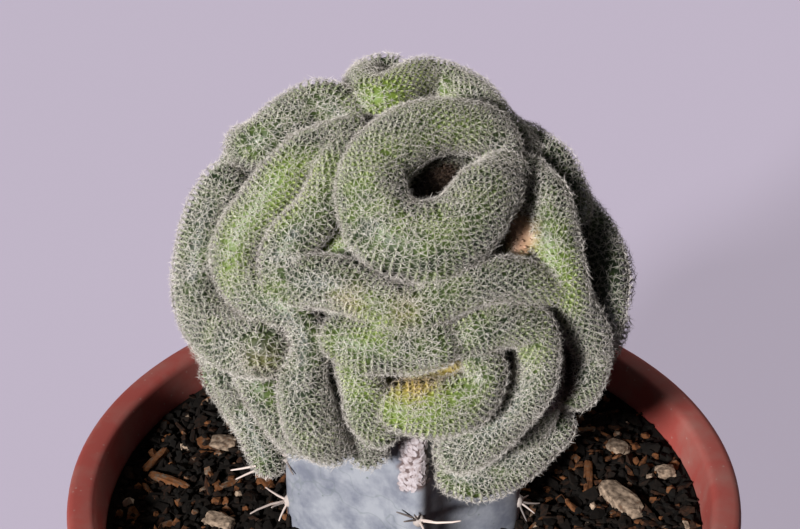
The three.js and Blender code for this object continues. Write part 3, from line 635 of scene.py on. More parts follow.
points, normals = corners(skin.data)
swell = np.array([noise.noise(Vector(p / SWELL_LENGTH)) for p in points])
points = points + normals * (SWELL * swell)[:, None]
move_points(skin.data, points)
edges = np.empty(len(skin.data.edges) * 2, np.int32)
skin.data.edges.foreach_get("vertices", edges)
edges = edges.reshape(-1, 2)
proud = np.sum((points - soften(points, edges, RELIEF_ROUNDS)) * normals, axis=1)
relief = np.clip(proud / RELIEF_DEPTH, -1, 1)
even_relief = soften(relief[:, None], edges, CREASE_ROUNDS)
points = points + normals * (CREASE_DEPTH * np.minimum(even_relief + CREASE_START, 0))
move_points(skin.data, points)
print("relief", relief.min().round(2), "to", relief.max().round(2))

# %% [markdown]
# Where a fold is young its skin is bright and its spines are short. These patches are given at the
# places where the photograph shows them, each with a size in millimetres and a strength, and a slow
# noise adds weaker ones all round. The same kind of patch marks yellow skin in a groove, bare corky
# skin beside the ring, a place with a thin coat of spines, and painted shade in places that lie in
# deep shadow, which are treated as if they lay deeper in a crease.

# %% Listed patches
# Picture x, picture y, size, strength
YOUNG_PATCHES = [
    (285, 195, 5, 1.0), (325, 238, 4, 0.9), (245, 235, 3.5, 0.4), (240, 262, 3, 0.3), (390, 95, 6, 0.9),
    (375, 325, 4, 0.8), (549, 268, 4, 0.6), (566, 296, 4, 0.8), (455, 378, 5, 0.5), (400, 425, 5, 0.7),
    (455, 320, 4, 0.9), (270, 305, 4, 0.5), (440, 225, 4, 0.5), (360, 395, 3, 0.4), (530, 350, 4, 0.7),
    (440, 405, 5, 0.5), (330, 345, 3, 0.4), (420, 78, 5, 0.7), (345, 372, 3, 0.5), (250, 135, 4, 0.3),
    (302, 178, 3.5, 0.6), (230, 275, 4, 0.3), (555, 235, 4, 0.4), (460, 120, 5, 0.4), (405, 285, 4, 0.3),
    (382, 372, 3, 0.7), (365, 160, 4, 0.4), (258, 345, 5, -0.8),
    (362, 203, 4, 0.35), (400, 148, 4, 0.35), (450, 138, 4, 0.35), (395, 238, 4, 0.25), (484, 190, 4, 0.35),
]
OCHRE_PATCHES = [
    (396, 385, 2.2, 0.7), (408, 386, 2.3, 0.75), (421, 384, 2.1, 0.8), (435, 378, 1.8, 0.85),
    (449, 369, 1.5, 0.9), (463, 361, 1.1, 0.8), (350, 300, 2, 0.25), (405, 310, 2, 0.2),
    (262, 362, 2.6, 0.14),
]
BALD_PATCHES = [(517, 222, 1.4, 1.0), (521, 236, 1.8, 1.1), (519, 247, 1.3, 1.0)]
THIN_PATCHES = [(262, 338, 3, 0.85)]
# Painted shade: places in deep shadow, darkened and browned as if they lay deep in a crease
SHADE_PATCHES = [
    (436, 176, 3, 0.9), (424, 186, 2.2, 0.6), (450, 168, 2, 0.6), (560, 335, 2.5, 0.9), (566, 360, 3, 0.9),
    (562, 383, 3, 0.9), (553, 402, 3, 0.9), (572, 325, 2, 0.5), (590, 310, 2, 0.6), (600, 325, 1.6, 0.5),
    (578, 240, 1.8, 0.5),
]
PATCH_SHARE = 0.95
# Strength, length and threshold of the slow noise that makes more young places
CHANCE_YOUTH = 0.6
CHANCE_LENGTH = 13
CHANCE_START = 0.12

skin_tree = bvhtree.BVHTree.FromPolygons(
    [Vector(p) for p in points], [tuple(p.vertices) for p in skin.data.polygons])


def patches(spots):
    """Share of each point of the skin in patches given by picture x, picture y, size and strength."""
    share = np.zeros(len(points))
    for x, y, size, strength in spots:
        centre = np.array(skin_tree.ray_cast(Vector(EYE), Vector(ray(x, y)))[0])
        away = np.linalg.norm(points - centre, axis=1)
        share += strength * np.exp(-0.5 * (away / size) ** 2)
    return share


chance = [CHANCE_YOUTH * max(0, noise.noise(Vector(p / CHANCE_LENGTH + 7)) - CHANCE_START) for p in points]
fresh = np.clip(PATCH_SHARE * patches(YOUNG_PATCHES) + chance, 0, 1)
ochre = np.clip(patches(OCHRE_PATCHES), 0, 1)
bald = np.clip(patches(BALD_PATCHES), 0, 1)
thin_coat = patches(THIN_PATCHES)
# Relief with the painted shade of these patches taken off it
relief_and_shade = np.clip(relief - patches(SHADE_PATCHES), -1, 1)
print("young share", fresh.mean().round(2))

# %% [markdown]
# The fine mesh has served its purpose once its relief is known, so Decimate takes it down to about a
# fifth. The values are stored afterwards: each point that is left takes those of the nearest point
# of the fine mesh.

# %% Fewer faces, and the values stored on them
SKIN_SHARE = 0.22

face_points = [tuple(p.vertices) for p in skin.data.polygons]
face_centres = points[[f[0] for f in face_points]] / 2 + points[[f[2] for f in face_points]] / 2
near_point = kdtree.KDTree(len(points))
for i, p in enumerate(points):
    near_point.insert(Vector(p), i)
near_point.balance()
thin = skin.modifiers.new("fewer faces", "DECIMATE")
thin.ratio = SKIN_SHARE
skin = settled(skin, "crest_skin")
same = [near_point.find(Vector(p))[1] for p in corners(skin.data)[0]]
store(skin.data, "relief", "FLOAT", relief_and_shade[same])
store(skin.data, "fresh", "FLOAT", fresh[same])
store(skin.data, "ochre", "FLOAT", ochre[same])
store(skin.data, "bald", "FLOAT", bald[same])
shade_smooth(skin.data)
print(len(skin.data.polygons), "faces")

# %% [markdown]
# The skin is covered by tubercles, small cones a little over a millimetre apart, and each carries
# an areole, a tuft of spines. They stand in crossing rows that follow the folds. So rows of places
# are laid round each sausage, half a step apart from row to row, and kept where they reach the
# skin. Bare spots that are left, such as the joints between folds, are filled one by one. Points
# scattered by a node would be quicker to make, but they would lose the rows.

# %% Rows of places round a fold
ROW_STEP = 0.866
GRAFT_REACH = 24.5


def rows(places, radii, spacing):
    """Places round a fold in crossing rows."""
    centres, sizes = fold_line(places, radii, spacing * ROW_STEP)
    along = unit(np.gradient(centres, axis=0))
    out = centres - HEAD
    out = unit(out - along * np.sum(out * along, axis=1, keepdims=True))
    side = np.cross(along, out)
    found = []
    for i, (centre, size) in enumerate(zip(centres, sizes)):
        count = max(4, round(2 * math.pi * size / spacing))
        for k in range(count):
            angle = 2 * math.pi * (k + 0.5 * (i % 2)) / count
            found.append(centre + size * (math.cos(angle) * side[i] + math.sin(angle) * out[i]))
    return found


def below_graft(p):
    """Whether a place faces the rootstock's cut or its sides."""
    return p[2] < GRAFT_HEIGHT + 1 and math.hypot(p[0], p[1]) < GRAFT_REACH


# %% [markdown]
# Spines in a deep groove are hardly seen, and on the real plant they are shorter and fewer there. So
# each place looks out in 48 directions spread evenly over a sphere, and the share that isn't blocked
# by the crest tells how open it is.

# %% Open sky over a place
SKY_WAYS = 48
SKY_LIFT = 0.8
SKY_REACH = 60
LOWEST_WAY = 0.12
# Radians from one direction, or one spine, to the next so that they never line up
GOLDEN_ANGLE = 2.39996

steps = np.arange(SKY_WAYS) + 0.5
heights = 1 - 2 * steps / SKY_WAYS
angles = steps * GOLDEN_ANGLE
SKY = np.column_stack([np.cos(angles), np.sin(angles), heights])
SKY[:, :2] *= np.sqrt(1 - heights**2)[:, None]


def openness(spot, normal):
    """Share of the sky that a place on the skin sees."""
    free_ways = 0
    ways = SKY[SKY @ np.array(normal) > LOWEST_WAY]
    start = spot + normal * SKY_LIFT
    for way in ways:
        free_ways += skin_tree.ray_cast(start, Vector(way), SKY_REACH)[0] is None
    return free_ways / len(ways)


print("directions", SKY.shape)

# %% [markdown]
# The places are tried one after another. One is kept where it lies on the skin, outside the deepest
# creases and the graft, and where no place kept before it is nearer than eight tenths of the
# spacing. The spacing is wider on the sides and the back, which keeps the whole coat within the
# triangles that the object may have.

# %% Places of the areoles
FRONT_SPACING = 1.15
BACK_SPACING = 1.34
CROWDING = 0.8
ON_SKIN = 0.9
BARE_RELIEF = -0.62

wanted = []
for number, route in enumerate(routes):
    spacing = FRONT_SPACING if number < len(SEEN_FOLDS) else BACK_SPACING
    wanted += [(p, spacing) for p in rows(*route, spacing)]
wanted += [(p, FRONT_SPACING if p[1] < HEAD[1] else BACK_SPACING) for p in face_centres]
places = []
for p, spacing in wanted:
    spot, normal, face, distance = skin_tree.find_nearest(Vector(p))
    corner = face_points[face][0]
    covered = relief[corner] > BARE_RELIEF and not below_graft(spot)
    if distance < ON_SKIN and covered:
        places.append((spot, normal, corner, spacing))
near_place = kdtree.KDTree(len(places))
for i, place in enumerate(places):
    near_place.insert(place[0], i)
near_place.balance()
free = np.ones(len(places), bool)
kept = []
for i, (spot, _, _, spacing) in enumerate(places):
    if free[i]:
        kept.append(i)
        for _, k, _ in near_place.find_range(spot, CROWDING * spacing):
            free[k] = False
sky = np.array([openness(*places[i][:2]) for i in kept])
kept = np.array(kept)[sky > 0]
sky = sky[sky > 0]
areoles = np.array([places[i][0] for i in kept])
areole_normals = np.array([places[i][1] for i in kept])
areole_corners = [places[i][2] for i in kept]
print(len(areoles), "areoles of", len(free), "places, seeing", sky.mean().round(2), "of the sky")

# %% [markdown]
# A tubercle is a small blunt cone of skin, and the areole on its tip holds a dozen or more short
# white spines that spread over its neighbours. Thousands of them hide the green. Here a star has
# seven spines of three sides each, coarser than the real ones so that they show and cover as much.
# Four stars are drawn once, and a random one stands on each areole, spun and scaled, so that no two
# neighbours look alike. Sheltered and thinly covered places get one of four sparse stars instead.
# Numbers that a tree needs about each areole go with its point.

# %% Areoles as points
STARS = 4
SPARSE_SKY = 0.22
BARE_SKY = 0.1
# Scale of a star, what relief adds and youth takes off, its limits, and the chance in it
VIGOUR = 1.05
RELIEF_VIGOUR = 0.15
YOUNG_VIGOUR = 0.1
VIGOUR_LIMITS = (0.6, 1.3)
VIGOUR_CHANCE = (0.85, 1.15)

rng = np.random.default_rng(11)
areole_bald = bald[areole_corners]
vigour = VIGOUR + RELIEF_VIGOUR * relief_and_shade[areole_corners] - YOUNG_VIGOUR * fresh[areole_corners]
vigour = np.clip(vigour, *VIGOUR_LIMITS) * rng.uniform(*VIGOUR_CHANCE, len(areoles))
thin_here = thin_coat[areole_corners] + rng.uniform(-0.15, 0.15, len(areoles)) > 0.5
star = rng.integers(0, STARS, len(areoles)) + STARS * ((sky < SPARSE_SKY) | thin_here)
areole_values = (
    ("facing", "FLOAT_VECTOR", areole_normals), ("relief", "FLOAT", relief_and_shade[areole_corners]),
    ("fresh", "FLOAT", fresh[areole_corners]), ("ochre", "FLOAT", ochre[areole_corners]),
    ("bald", "FLOAT", areole_bald), ("vigour", "FLOAT", vigour), ("star", "INT", star),
)
print(int((star >= STARS).sum()), "areoles have a sparse star")


def areole_points(name, chosen):
    """Loose points for some of the areoles, with their values."""
    source = new_object(name, areoles[chosen])
    for key, kind, values in areole_values:
        store(source.data, key, kind, values[chosen])
    return source


def spun(tree, seed):
    """Rotation that stands an instance on the skin and spins it at random."""
    facing = add(tree, "GeometryNodeInputNamedAttribute", VECTOR, {"Name": "facing"})
    upright = add(tree, "FunctionNodeAlignRotationToVector", {"axis": "Z"}, {"Vector": facing.outputs[0]})
    spin = add(tree, "FunctionNodeRandomValue", FLOAT, {3: 2 * math.pi, "Seed": seed})
    about = add(tree, "ShaderNodeCombineXYZ", inputs={"Z": spin.outputs[1]})
    turn = add(tree, "FunctionNodeEulerToRotation", inputs={0: about.outputs[0]})
    both = add(tree, "FunctionNodeRotateRotation", LOCAL, {0: upright.outputs[0], 1: turn.outputs[0]})
    return both.outputs[0]


# %% Tubercles
TUBERCLE_WIDTH = 1.15
TUBERCLE_HEIGHT = 0.85
TUBERCLE_SINK = 0.25
TUBERCLE_SIDES = 3

tree, group = new_tree("tubercles", Width=float, Height=float, Sink=float, Seed=int, Material=str)
half = add(tree, "ShaderNodeMath", PRODUCT, {0: group["Width"], 1: 0.5})
drop = add(tree, "ShaderNodeMath", PRODUCT, {0: group["Sink"], 1: -1.0})
down = add(tree, "ShaderNodeCombineXYZ", inputs={"Z": drop.outputs[0]})
cone = add(tree, "GeometryNodeMeshCone", {"fill_type": "NGON"}, {
    "Vertices": TUBERCLE_SIDES, "Radius Bottom": half.outputs[0], "Depth": group["Height"]})
spot = add(tree, "GeometryNodeInputPosition")
parts = add(tree, "ShaderNodeSeparateXYZ", inputs={0: spot.outputs[0]})
share = add(tree, "ShaderNodeMapRange", {}, {
    "Value": parts.outputs["Z"], 1: group["Sink"], 2: group["Height"]})
marked = add(tree, "GeometryNodeStoreNamedAttribute", {"data_type": "FLOAT", "domain": "POINT"}, {
    "Geometry": cone.outputs[0], "Name": "rise", "Value": share.outputs[0]})
sunk = add(tree, "GeometryNodeTransform", inputs={
    "Geometry": marked.outputs[0], "Translation": down.outputs[0]})
smooth = add(tree, "GeometryNodeSetShadeSmooth", inputs={"Geometry": sunk.outputs[0], "Shade Smooth": True})
stand = add(tree, "GeometryNodeInstanceOnPoints", inputs={
    "Points": group["Geometry"], "Instance": smooth.outputs[0], "Rotation": spun(tree, group["Seed"])})
close_tree(tree, stand.outputs[0], group["Material"])
with_tubercle = areole_points("tubercle_points", np.flatnonzero(sky > BARE_SKY))
tubercles = grown(with_tubercle, "tubercles", tree,
                  Width=TUBERCLE_WIDTH * MM, Height=(TUBERCLE_HEIGHT + TUBERCLE_SINK) * MM,
                  Sink=TUBERCLE_SINK * MM, Seed=3, Material=crest_skin)

# %% [markdown]
# A spine is dry, hollow plant tissue, chalky white to grey with a darker foot, and it shines only
# faintly. Down in the creases and in the shade patches the spines turn brown, partly as old spines do
# and partly as painted shade. Along the ochre groove the skin stains them.

# %% Spine finish
SPINE_PALE, SPINE_GREY, SPINE_FOOT = linear("#F0E7E0"), linear("#CEC5BC"), linear("#6C6B56")
# The first colour browns the spines in the creases and the shade patches: partly old spines, partly painted
# shade
SPINE_BROWN_SHADE, SPINE_RUDDY = linear("#5F4D41"), linear("#D6BC92")
SPINE_TONE_SIZE = 1.6

# Dead, dried spine tissue, grown: a dull, bony white
spine_bone, tree, shader, place = new_material("dry_spine", 0.55, 1.45)
relief_in = add(tree, "ShaderNodeAttribute", {"attribute_name": "relief"}).outputs["Fac"]
ochre_in = add(tree, "ShaderNodeAttribute", {"attribute_name": "ochre"}).outputs["Fac"]
along_in = add(tree, "ShaderNodeAttribute", {"attribute_name": "along"}).outputs["Fac"]
tone = add(tree, "ShaderNodeTexNoise", inputs={
    "Vector": place, "Scale": per_mm(SPINE_TONE_SIZE), "Detail": 2.0})
spread = add(tree, "ShaderNodeMapRange", {}, {"Value": tone.outputs["Fac"], 1: 0.35, 2: 0.65})
pale = add(tree, "ShaderNodeMix", COLOUR, {0: spread.outputs[0], 6: SPINE_GREY, 7: SPINE_PALE})
clear = add(tree, "ShaderNodeMapRange", {}, {"Value": along_in, 1: 0.0, 2: 0.42})
footed = add(tree, "ShaderNodeMix", COLOUR, {0: clear.outputs[0], 6: SPINE_FOOT, 7: pale.outputs[2]})
# Painted shade, partly real ageing: the spines turn brown where relief is low
spine_shade_share = add(tree, "ShaderNodeMapRange", {}, {"Value": relief_in, 1: -0.3, 2: -0.75})
spine_brown_and_shade = add(tree, "ShaderNodeMix", COLOUR, {0: spine_shade_share.outputs[0], 6: footed.outputs[2], 7: SPINE_BROWN_SHADE})
ruddy = add(tree, "ShaderNodeMix", COLOUR, {0: ochre_in, 6: spine_brown_and_shade.outputs[2], 7: SPINE_RUDDY})
tree.links.new(ruddy.outputs[2], shader.inputs["Base Color"])

# %% [markdown]
# Each star is built inside the tree: a few points at one spot, a cone on each, leaning well over and
# turned by the golden angle with a little chance in it. The stars are joined as instances, and the
# number on each areole's point picks one. The coat is far too big for one piece, so it is grown
# sector by sector round the ball.

# %% Tree of the spines
SPINE_LENGTH = 1.55
# Real spines are half as wide or less, too fine to show
SPINE_WIDTH = 0.1
SPINE_SIDES = 3
SPINE_COUNTS = (7, 4)

tree, group = new_tree("spines", Length=float, Width=float, Lift=float, Seed=int, Material=str)
half = add(tree, "ShaderNodeMath", PRODUCT, {0: group["Width"], 1: 0.5})
cone = add(tree, "GeometryNodeMeshCone", {"fill_type": "NGON"}, {
    "Vertices": SPINE_SIDES, "Radius Bottom": half.outputs[0], "Depth": group["Length"]})
spot = add(tree, "GeometryNodeInputPosition")
parts = add(tree, "ShaderNodeSeparateXYZ", inputs={0: spot.outputs[0]})
share = add(tree, "ShaderNodeMapRange", {}, {"Value": parts.outputs["Z"], 2: group["Length"]})
shaded = add(tree, "GeometryNodeStoreNamedAttribute", {"data_type": "FLOAT", "domain": "POINT"}, {
    "Geometry": cone.outputs[0], "Name": "along", "Value": share.outputs[0]})
stars = add(tree, "GeometryNodeJoinGeometry")
# Join Geometry puts what is linked last first
for number in reversed(range(2 * STARS)):
    star_seed = add(tree, "FunctionNodeIntegerMath", SUM, {0: group["Seed"], 1: 10 * number}).outputs[0]
    seeds = [add(tree, "FunctionNodeIntegerMath", SUM, {0: star_seed, 1: k}).outputs[0] for k in range(3)]
    feet = add(tree, "GeometryNodePoints", inputs={"Count": SPINE_COUNTS[number // STARS]})
    index = add(tree, "GeometryNodeInputIndex")
    even_turn = add(tree, "ShaderNodeMath", PRODUCT, {0: index.outputs[0], 1: GOLDEN_ANGLE})
    stray = add(tree, "FunctionNodeRandomValue", FLOAT, {2: -0.35, 3: 0.35, "Seed": seeds[0]})
    about = add(tree, "ShaderNodeMath", SUM, {0: even_turn.outputs[0], 1: stray.outputs[1]})
    lean = add(tree, "FunctionNodeRandomValue", FLOAT, {2: 1.05, 3: 1.42, "Seed": seeds[1]})
    euler = add(tree, "ShaderNodeCombineXYZ", inputs={"Y": lean.outputs[1], "Z": about.outputs[0]})
    turn = add(tree, "FunctionNodeEulerToRotation", inputs={0: euler.outputs[0]})
    reach = add(tree, "FunctionNodeRandomValue", FLOAT, {2: 0.6, 3: 1.25, "Seed": seeds[2]})
    size = add(tree, "ShaderNodeCombineXYZ", inputs={"X": 1.0, "Y": 1.0, "Z": reach.outputs[1]})
    burst = add(tree, "GeometryNodeInstanceOnPoints", inputs={
        "Points": feet.outputs[0], "Instance": shaded.outputs[0], "Rotation": turn.outputs[0],
        "Scale": size.outputs[0]})
    lift = add(tree, "ShaderNodeCombineXYZ", inputs={"Z": group["Lift"]})
    raised = add(tree, "GeometryNodeTransform", inputs={
        "Geometry": burst.outputs[0], "Translation": lift.outputs[0]})
    whole = add(tree, "GeometryNodeRealizeInstances", inputs={0: raised.outputs[0]})
    single = add(tree, "GeometryNodeGeometryToInstance", inputs={0: whole.outputs[0]})
    tree.links.new(single.outputs[0], stars.inputs[0])
which = add(tree, "GeometryNodeInputNamedAttribute", {"data_type": "INT"}, {"Name": "star"})
strength = add(tree, "GeometryNodeInputNamedAttribute", FLOAT, {"Name": "vigour"})
stand = add(tree, "GeometryNodeInstanceOnPoints", inputs={
    "Points": group["Geometry"], "Instance": stars.outputs[0], "Pick Instance": True,
    "Instance Index": which.outputs[0], "Rotation": spun(tree, group["Seed"]),
    "Scale": strength.outputs[0]})
close_tree(tree, stand.outputs[0], group["Material"])
print("spine tree of", len(tree.nodes), "nodes")

# %% Spines, sector by sector
# Turn of the middle of each sector from the front
SECTORS = {"front": 0, "right": 72, "back_right": 144, "back_left": 216, "left": 288}
SECTOR_WIDTH = 360 / len(SECTORS)
BALD_FROM = 0.4
SPINE_SINK = 0.12

turns = np.degrees(np.arctan2(areoles[:, 0] - HEAD[0], -(areoles[:, 1] - HEAD[1]))) % 360
spine_pieces = []
for name, middle in SECTORS.items():
    here = (turns - middle + SECTOR_WIDTH / 2) % 360 < SECTOR_WIDTH
    source = areole_points("areole_points", np.flatnonzero(here & (areole_bald < BALD_FROM)))
    spine_pieces.append(grown(
        source, "spines_" + name, tree, Length=SPINE_LENGTH * MM, Width=SPINE_WIDTH * MM,
        Lift=(TUBERCLE_HEIGHT - SPINE_SINK) * MM, Seed=5, Material=spine_bone))

skin.data.materials.clear()
skin.data.materials.append(crest_skin)
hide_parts("crest")
for piece in (skin, tubercles, *spine_pieces):
    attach(piece, "root")

# %% [markdown]
# The rootstock is the stump of a column cactus. Its skin is hard and smooth under a blue-white bloom
# of wax, which shows mottles, hair cracks and small specks where the wax is rubbed. The wax scatters
# light, so the skin is matt. On the front rib an old wound has healed to grey-pink cork. The cracks
# are the places where a slow noise passes its middle value, and the specks are the cells of a
# Voronoi pattern near their centres.

# %% Skin of the rootstock
BLOOM_PALE, BLOOM_BLUE, BLOOM_WORN = linear("#8F9198"), linear("#686B77"), linear("#5A6462")
CORK_BASE = linear("#5E4E4C")
BLOOM_SIZE = 7
CRACK_SIZE = 16
CRACK_LEVEL = 0.53
SPECK_SIZE = 3.6

# Cactus skin with a powdery coat of wax, grown: matt, chalky blue-grey
rootstock_skin, tree, shader, place = new_material("rootstock_skin", 0.6)
scar_in = add(tree, "ShaderNodeAttribute", {"attribute_name": "scar"}).outputs["Fac"]
mottle = add(tree, "ShaderNodeTexNoise", inputs={
    "Vector": place, "Scale": per_mm(BLOOM_SIZE), "Detail": 5.0, "Roughness": 0.62})
bloom = add(tree, "ShaderNodeMapRange", {}, {"Value": mottle.outputs["Fac"], 1: 0.36, 2: 0.62})
skin_tone = add(tree, "ShaderNodeMix", COLOUR, {0: bloom.outputs[0], 6: BLOOM_BLUE, 7: BLOOM_PALE})
wander = add(tree, "ShaderNodeTexNoise", inputs={
    "Vector": place, "Scale": per_mm(CRACK_SIZE), "Detail": 2.5})
middle = add(tree, "ShaderNodeMath", {"operation": "SUBTRACT"}, {0: wander.outputs["Fac"], 1: CRACK_LEVEL})
beside = add(tree, "ShaderNodeMath", {"operation": "ABSOLUTE"}, {0: middle.outputs[0]})
hair = add(tree, "ShaderNodeMapRange", {}, {"Value": beside.outputs[0], 1: 0.006, 2: 0.002, 3: 0.0, 4: 0.3})
lined = add(tree, "ShaderNodeMix", COLOUR, {0: hair.outputs[0], 6: skin_tone.outputs[2], 7: BLOOM_WORN})
dots = add(tree, "ShaderNodeTexVoronoi", inputs={"Vector": place, "Scale": per_mm(SPECK_SIZE)})
speck = add(tree, "ShaderNodeMapRange", {}, {
    "Value": dots.outputs["Distance"], 1: 0.1, 2: 0.05, 3: 0.0, 4: 0.8})
specked = add(tree, "ShaderNodeMix", COLOUR, {0: speck.outputs[0], 6: lined.outputs[2], 7: BLOOM_WORN})
corky = add(tree, "ShaderNodeMix", COLOUR, {0: scar_in, 6: specked.outputs[2], 7: CORK_BASE})
bump = add(tree, "ShaderNodeBump", inputs={
    "Strength": 0.25, "Distance": 0.25 * MM, "Height": mottle.outputs["Fac"]})
tree.links.new(corky.outputs[2], shader.inputs["Base Color"])
tree.links.new(bump.outputs[0], shader.inputs["Normal"])

# %% [markdown]
# The column is drawn through rings of the same section that cut the crest's seat. It stays inside
# that section by up to half a millimetre, in slow waves, and narrows to its blunt end in the mix.
# The scar's share of each point is worked out from where the photograph shows the cork.

# %% Rootstock body
STOCK_RINGS = 50
STOCK_COUNT = 160
FOOT_INSET = 1.5
TOP_ROUND = 1.1
STOCK_WAVE = 0.22
STOCK_WAVE_LENGTHS = (6, 6, 14)
# Picture x from and to, and picture y from and to
SCAR_CORNERS = (398, 428, 430, 492)
SCAR_EDGE = 3


def picture(points):
    """Picture x and y of points."""
    away = np.asarray(points) - EYE
    depth = away[:, 1] * math.cos(TILT) - away[:, 2] * math.sin(TILT)
    rise = away[:, 1] * math.sin(TILT) + away[:, 2] * math.cos(TILT)
    return PICTURE[0] / 2 + FOCAL * away[:, 0] / depth, PICTURE[1] / 2 - FOCAL * rise / depth


stock_rings = []
for share in np.linspace(0, 1, STOCK_RINGS):
    z = STOCK_BOTTOM + (GRAFT_HEIGHT - STOCK_BOTTOM) * share
    inset = -FOOT_INSET * max(0, 1 - share / 0.5) ** 2
    stock_rings.append(section(z, inset, STOCK_COUNT))
for angle in np.radians((30, 60, 90)):
    z = GRAFT_HEIGHT - TOP_ROUND * (1 - math.sin(angle))
    stock_rings.append(section(z, -TOP_ROUND * (1 - math.cos(angle)), STOCK_COUNT))
stock_rings[STOCK_RINGS - 1][:, 2] = GRAFT_HEIGHT - TOP_ROUND
for ring in stock_rings:
    for p in ring:
        inward = STOCK_WAVE * (1 + noise.noise(Vector(p / STOCK_WAVE_LENGTHS)))
        p[:2] *= 1 - inward / math.hypot(p[0], p[1])
stock = stacked("rootstock_body", stock_rings, (0, 0, STOCK_BOTTOM), (0, 0, GRAFT_HEIGHT))
stock_points = corners(stock.data)[0]
x, y = picture(stock_points)
wobble = np.array([SCAR_EDGE * noise.noise(Vector(p / 1.7)) for p in stock_points])
left, right, top, bottom = SCAR_CORNERS
inside = np.minimum.reduce([x - left, right - x, y - top, bottom - y]) + wobble
scar = np.clip(inside / 2, 0, 1) * (stock_points[:, 1] < 0)
store(stock.data, "scar", "FLOAT", scar)
shade_smooth(stock.data)
stock.data.materials.append(rootstock_skin)
print(len(stock.data.polygons), "faces, scar on", round(float(scar.mean()) * 100, 1), "% of the points")

# %% [markdown]
# Cork cracks into small flakes as the stem swells. A tree scatters points over the scar and stands a
# six-sided flake on each, every one turned and sized at random. Cork is dry, dead and dull.

# %% Cork finish
CORK_PALE, CORK_PINK = linear("#B2A8AB"), linear("#8E7F7E")
CORK_TONE_SIZE = 0.9

# Cork, the dead healing tissue of a plant, dried and cracked: dull grey-pink plates
cork, tree, shader, place = new_material("dry_cork", 0.85)
patch = add(tree, "ShaderNodeTexNoise", inputs={
    "Vector": place, "Scale": per_mm(CORK_TONE_SIZE), "Detail": 3.0})
patchy = add(tree, "ShaderNodeMapRange", {}, {"Value": patch.outputs["Fac"], 1: 0.35, 2: 0.6})
cork_colour = add(tree, "ShaderNodeMix", COLOUR, {0: patchy.outputs[0], 6: CORK_PINK, 7: CORK_PALE})
tree.links.new(cork_colour.outputs[2], shader.inputs["Base Color"])

# %% Cork flakes of the scar
FLAKE_SIDES = 6
# Share of a flake's width that is left at its top
FLAKE_TOP = 0.86
# Far more to a square metre than fit, so that the spacing alone decides how many there are
FLAKE_DENSITY = 9e6

tree, group = new_tree("flakes", Spacing=float, Width=float, Height=float, Seed=int, Material=str)
share = add(tree, "GeometryNodeInputNamedAttribute", FLOAT, {"Name": "scar"})
spots = add(tree, "GeometryNodeDistributePointsOnFaces", {"distribute_method": "POISSON"}, {
    "Mesh": group["Geometry"], "Distance Min": group["Spacing"], "Density Max": FLAKE_DENSITY,
    "Density Factor": share.outputs[0], "Seed": group["Seed"]})
half = add(tree, "ShaderNodeMath", PRODUCT, {0: group["Width"], 1: 0.5})
top = add(tree, "ShaderNodeMath", PRODUCT, {0: half.outputs[0], 1: FLAKE_TOP})
flake = add(tree, "GeometryNodeMeshCone", {"fill_type": "NGON"}, {
    "Vertices": FLAKE_SIDES, "Radius Bottom": half.outputs[0], "Radius Top": top.outputs[0],
    "Depth": group["Height"]})
seed_spin = add(tree, "FunctionNodeIntegerMath", SUM, {0: group["Seed"], 1: 1})
spin = add(tree, "FunctionNodeRandomValue", VECTOR, {
    0: (-0.09, -0.09, 0.0), 1: (0.09, 0.09, 2 * math.pi), "Seed": seed_spin.outputs[0]})
turned = add(tree, "FunctionNodeEulerToRotation", inputs={0: spin.outputs[0]})
laid = add(tree, "FunctionNodeRotateRotation", LOCAL, {
    0: spots.outputs["Rotation"], 1: turned.outputs[0]})
seed_size = add(tree, "FunctionNodeIntegerMath", SUM, {0: group["Seed"], 1: 2})
size = add(tree, "FunctionNodeRandomValue", VECTOR, {
    0: (0.7, 0.5, 0.8), 1: (1.5, 1.1, 1.5), "Seed": seed_size.outputs[0]})
stand = add(tree, "GeometryNodeInstanceOnPoints", inputs={
    "Points": spots.outputs[0], "Instance": flake.outputs[0], "Rotation": laid.outputs[0],
    "Scale": size.outputs[0]})
close_tree(tree, stand.outputs[0], group["Material"])
scar_source = placed("scar_source", stock.data.copy())
flakes = grown(scar_source, "scar_flakes", tree, Spacing=1.0 * MM, Width=1.7 * MM, Height=0.14 * MM,
               Seed=3, Material=cork)

# %% [markdown]
# Each rib carries a row of areoles, cushions of grey wool with a few stout spines. The spines in view
# go to where the photograph shows their tips, given as picture steps from the areole and a reach
# towards the camera in millimetres. The other areoles get a fan of spines by a seeded rule. A spine
# is a slightly bent, tapered tube with a blunt end, bone-white and dry, darker where it is old. On the
# rib at 78 the darker spines are partly painted shade, for spines in the crest's shadow.

# %% Finish of the rootstock's spines and wool
# Plant wool, fine felted hairs, grown: dull, warm grey
wool, _, shader, _ = new_material("areole_wool", 0.95)
shader.inputs["Base Color"].default_value = linear("#A89C96")
# Dead, dried spine tissue, grown: smooth, bone-white when young, dark when old, and dark as painted shade
# where it lies in shadow
stock_spine, tree, shader, _ = new_material("bone_spine", 0.5)
age_and_shade_in = add(tree, "ShaderNodeAttribute", {"attribute_name": "age_and_shade"}).outputs["Fac"]
spine_colour = add(tree, "ShaderNodeMix", COLOUR, {0: age_and_shade_in, 6: linear("#C9B7AE"), 7: linear("#4C4441")})
tree.links.new(spine_colour.outputs[2], shader.inputs["Base Color"])

# %% Spines in view and their places
RIBS = (7, 78, 148, 218, 282)
RIB_RADII = (25.6, 26.6, 26.2, 26.2, 26.8)
AREOLE_HEIGHTS = (POT_HEIGHT - 3, POT_HEIGHT + 9.2)
# Picture steps to a millimetre at the rootstock
PICTURE_SCALE = 4.57
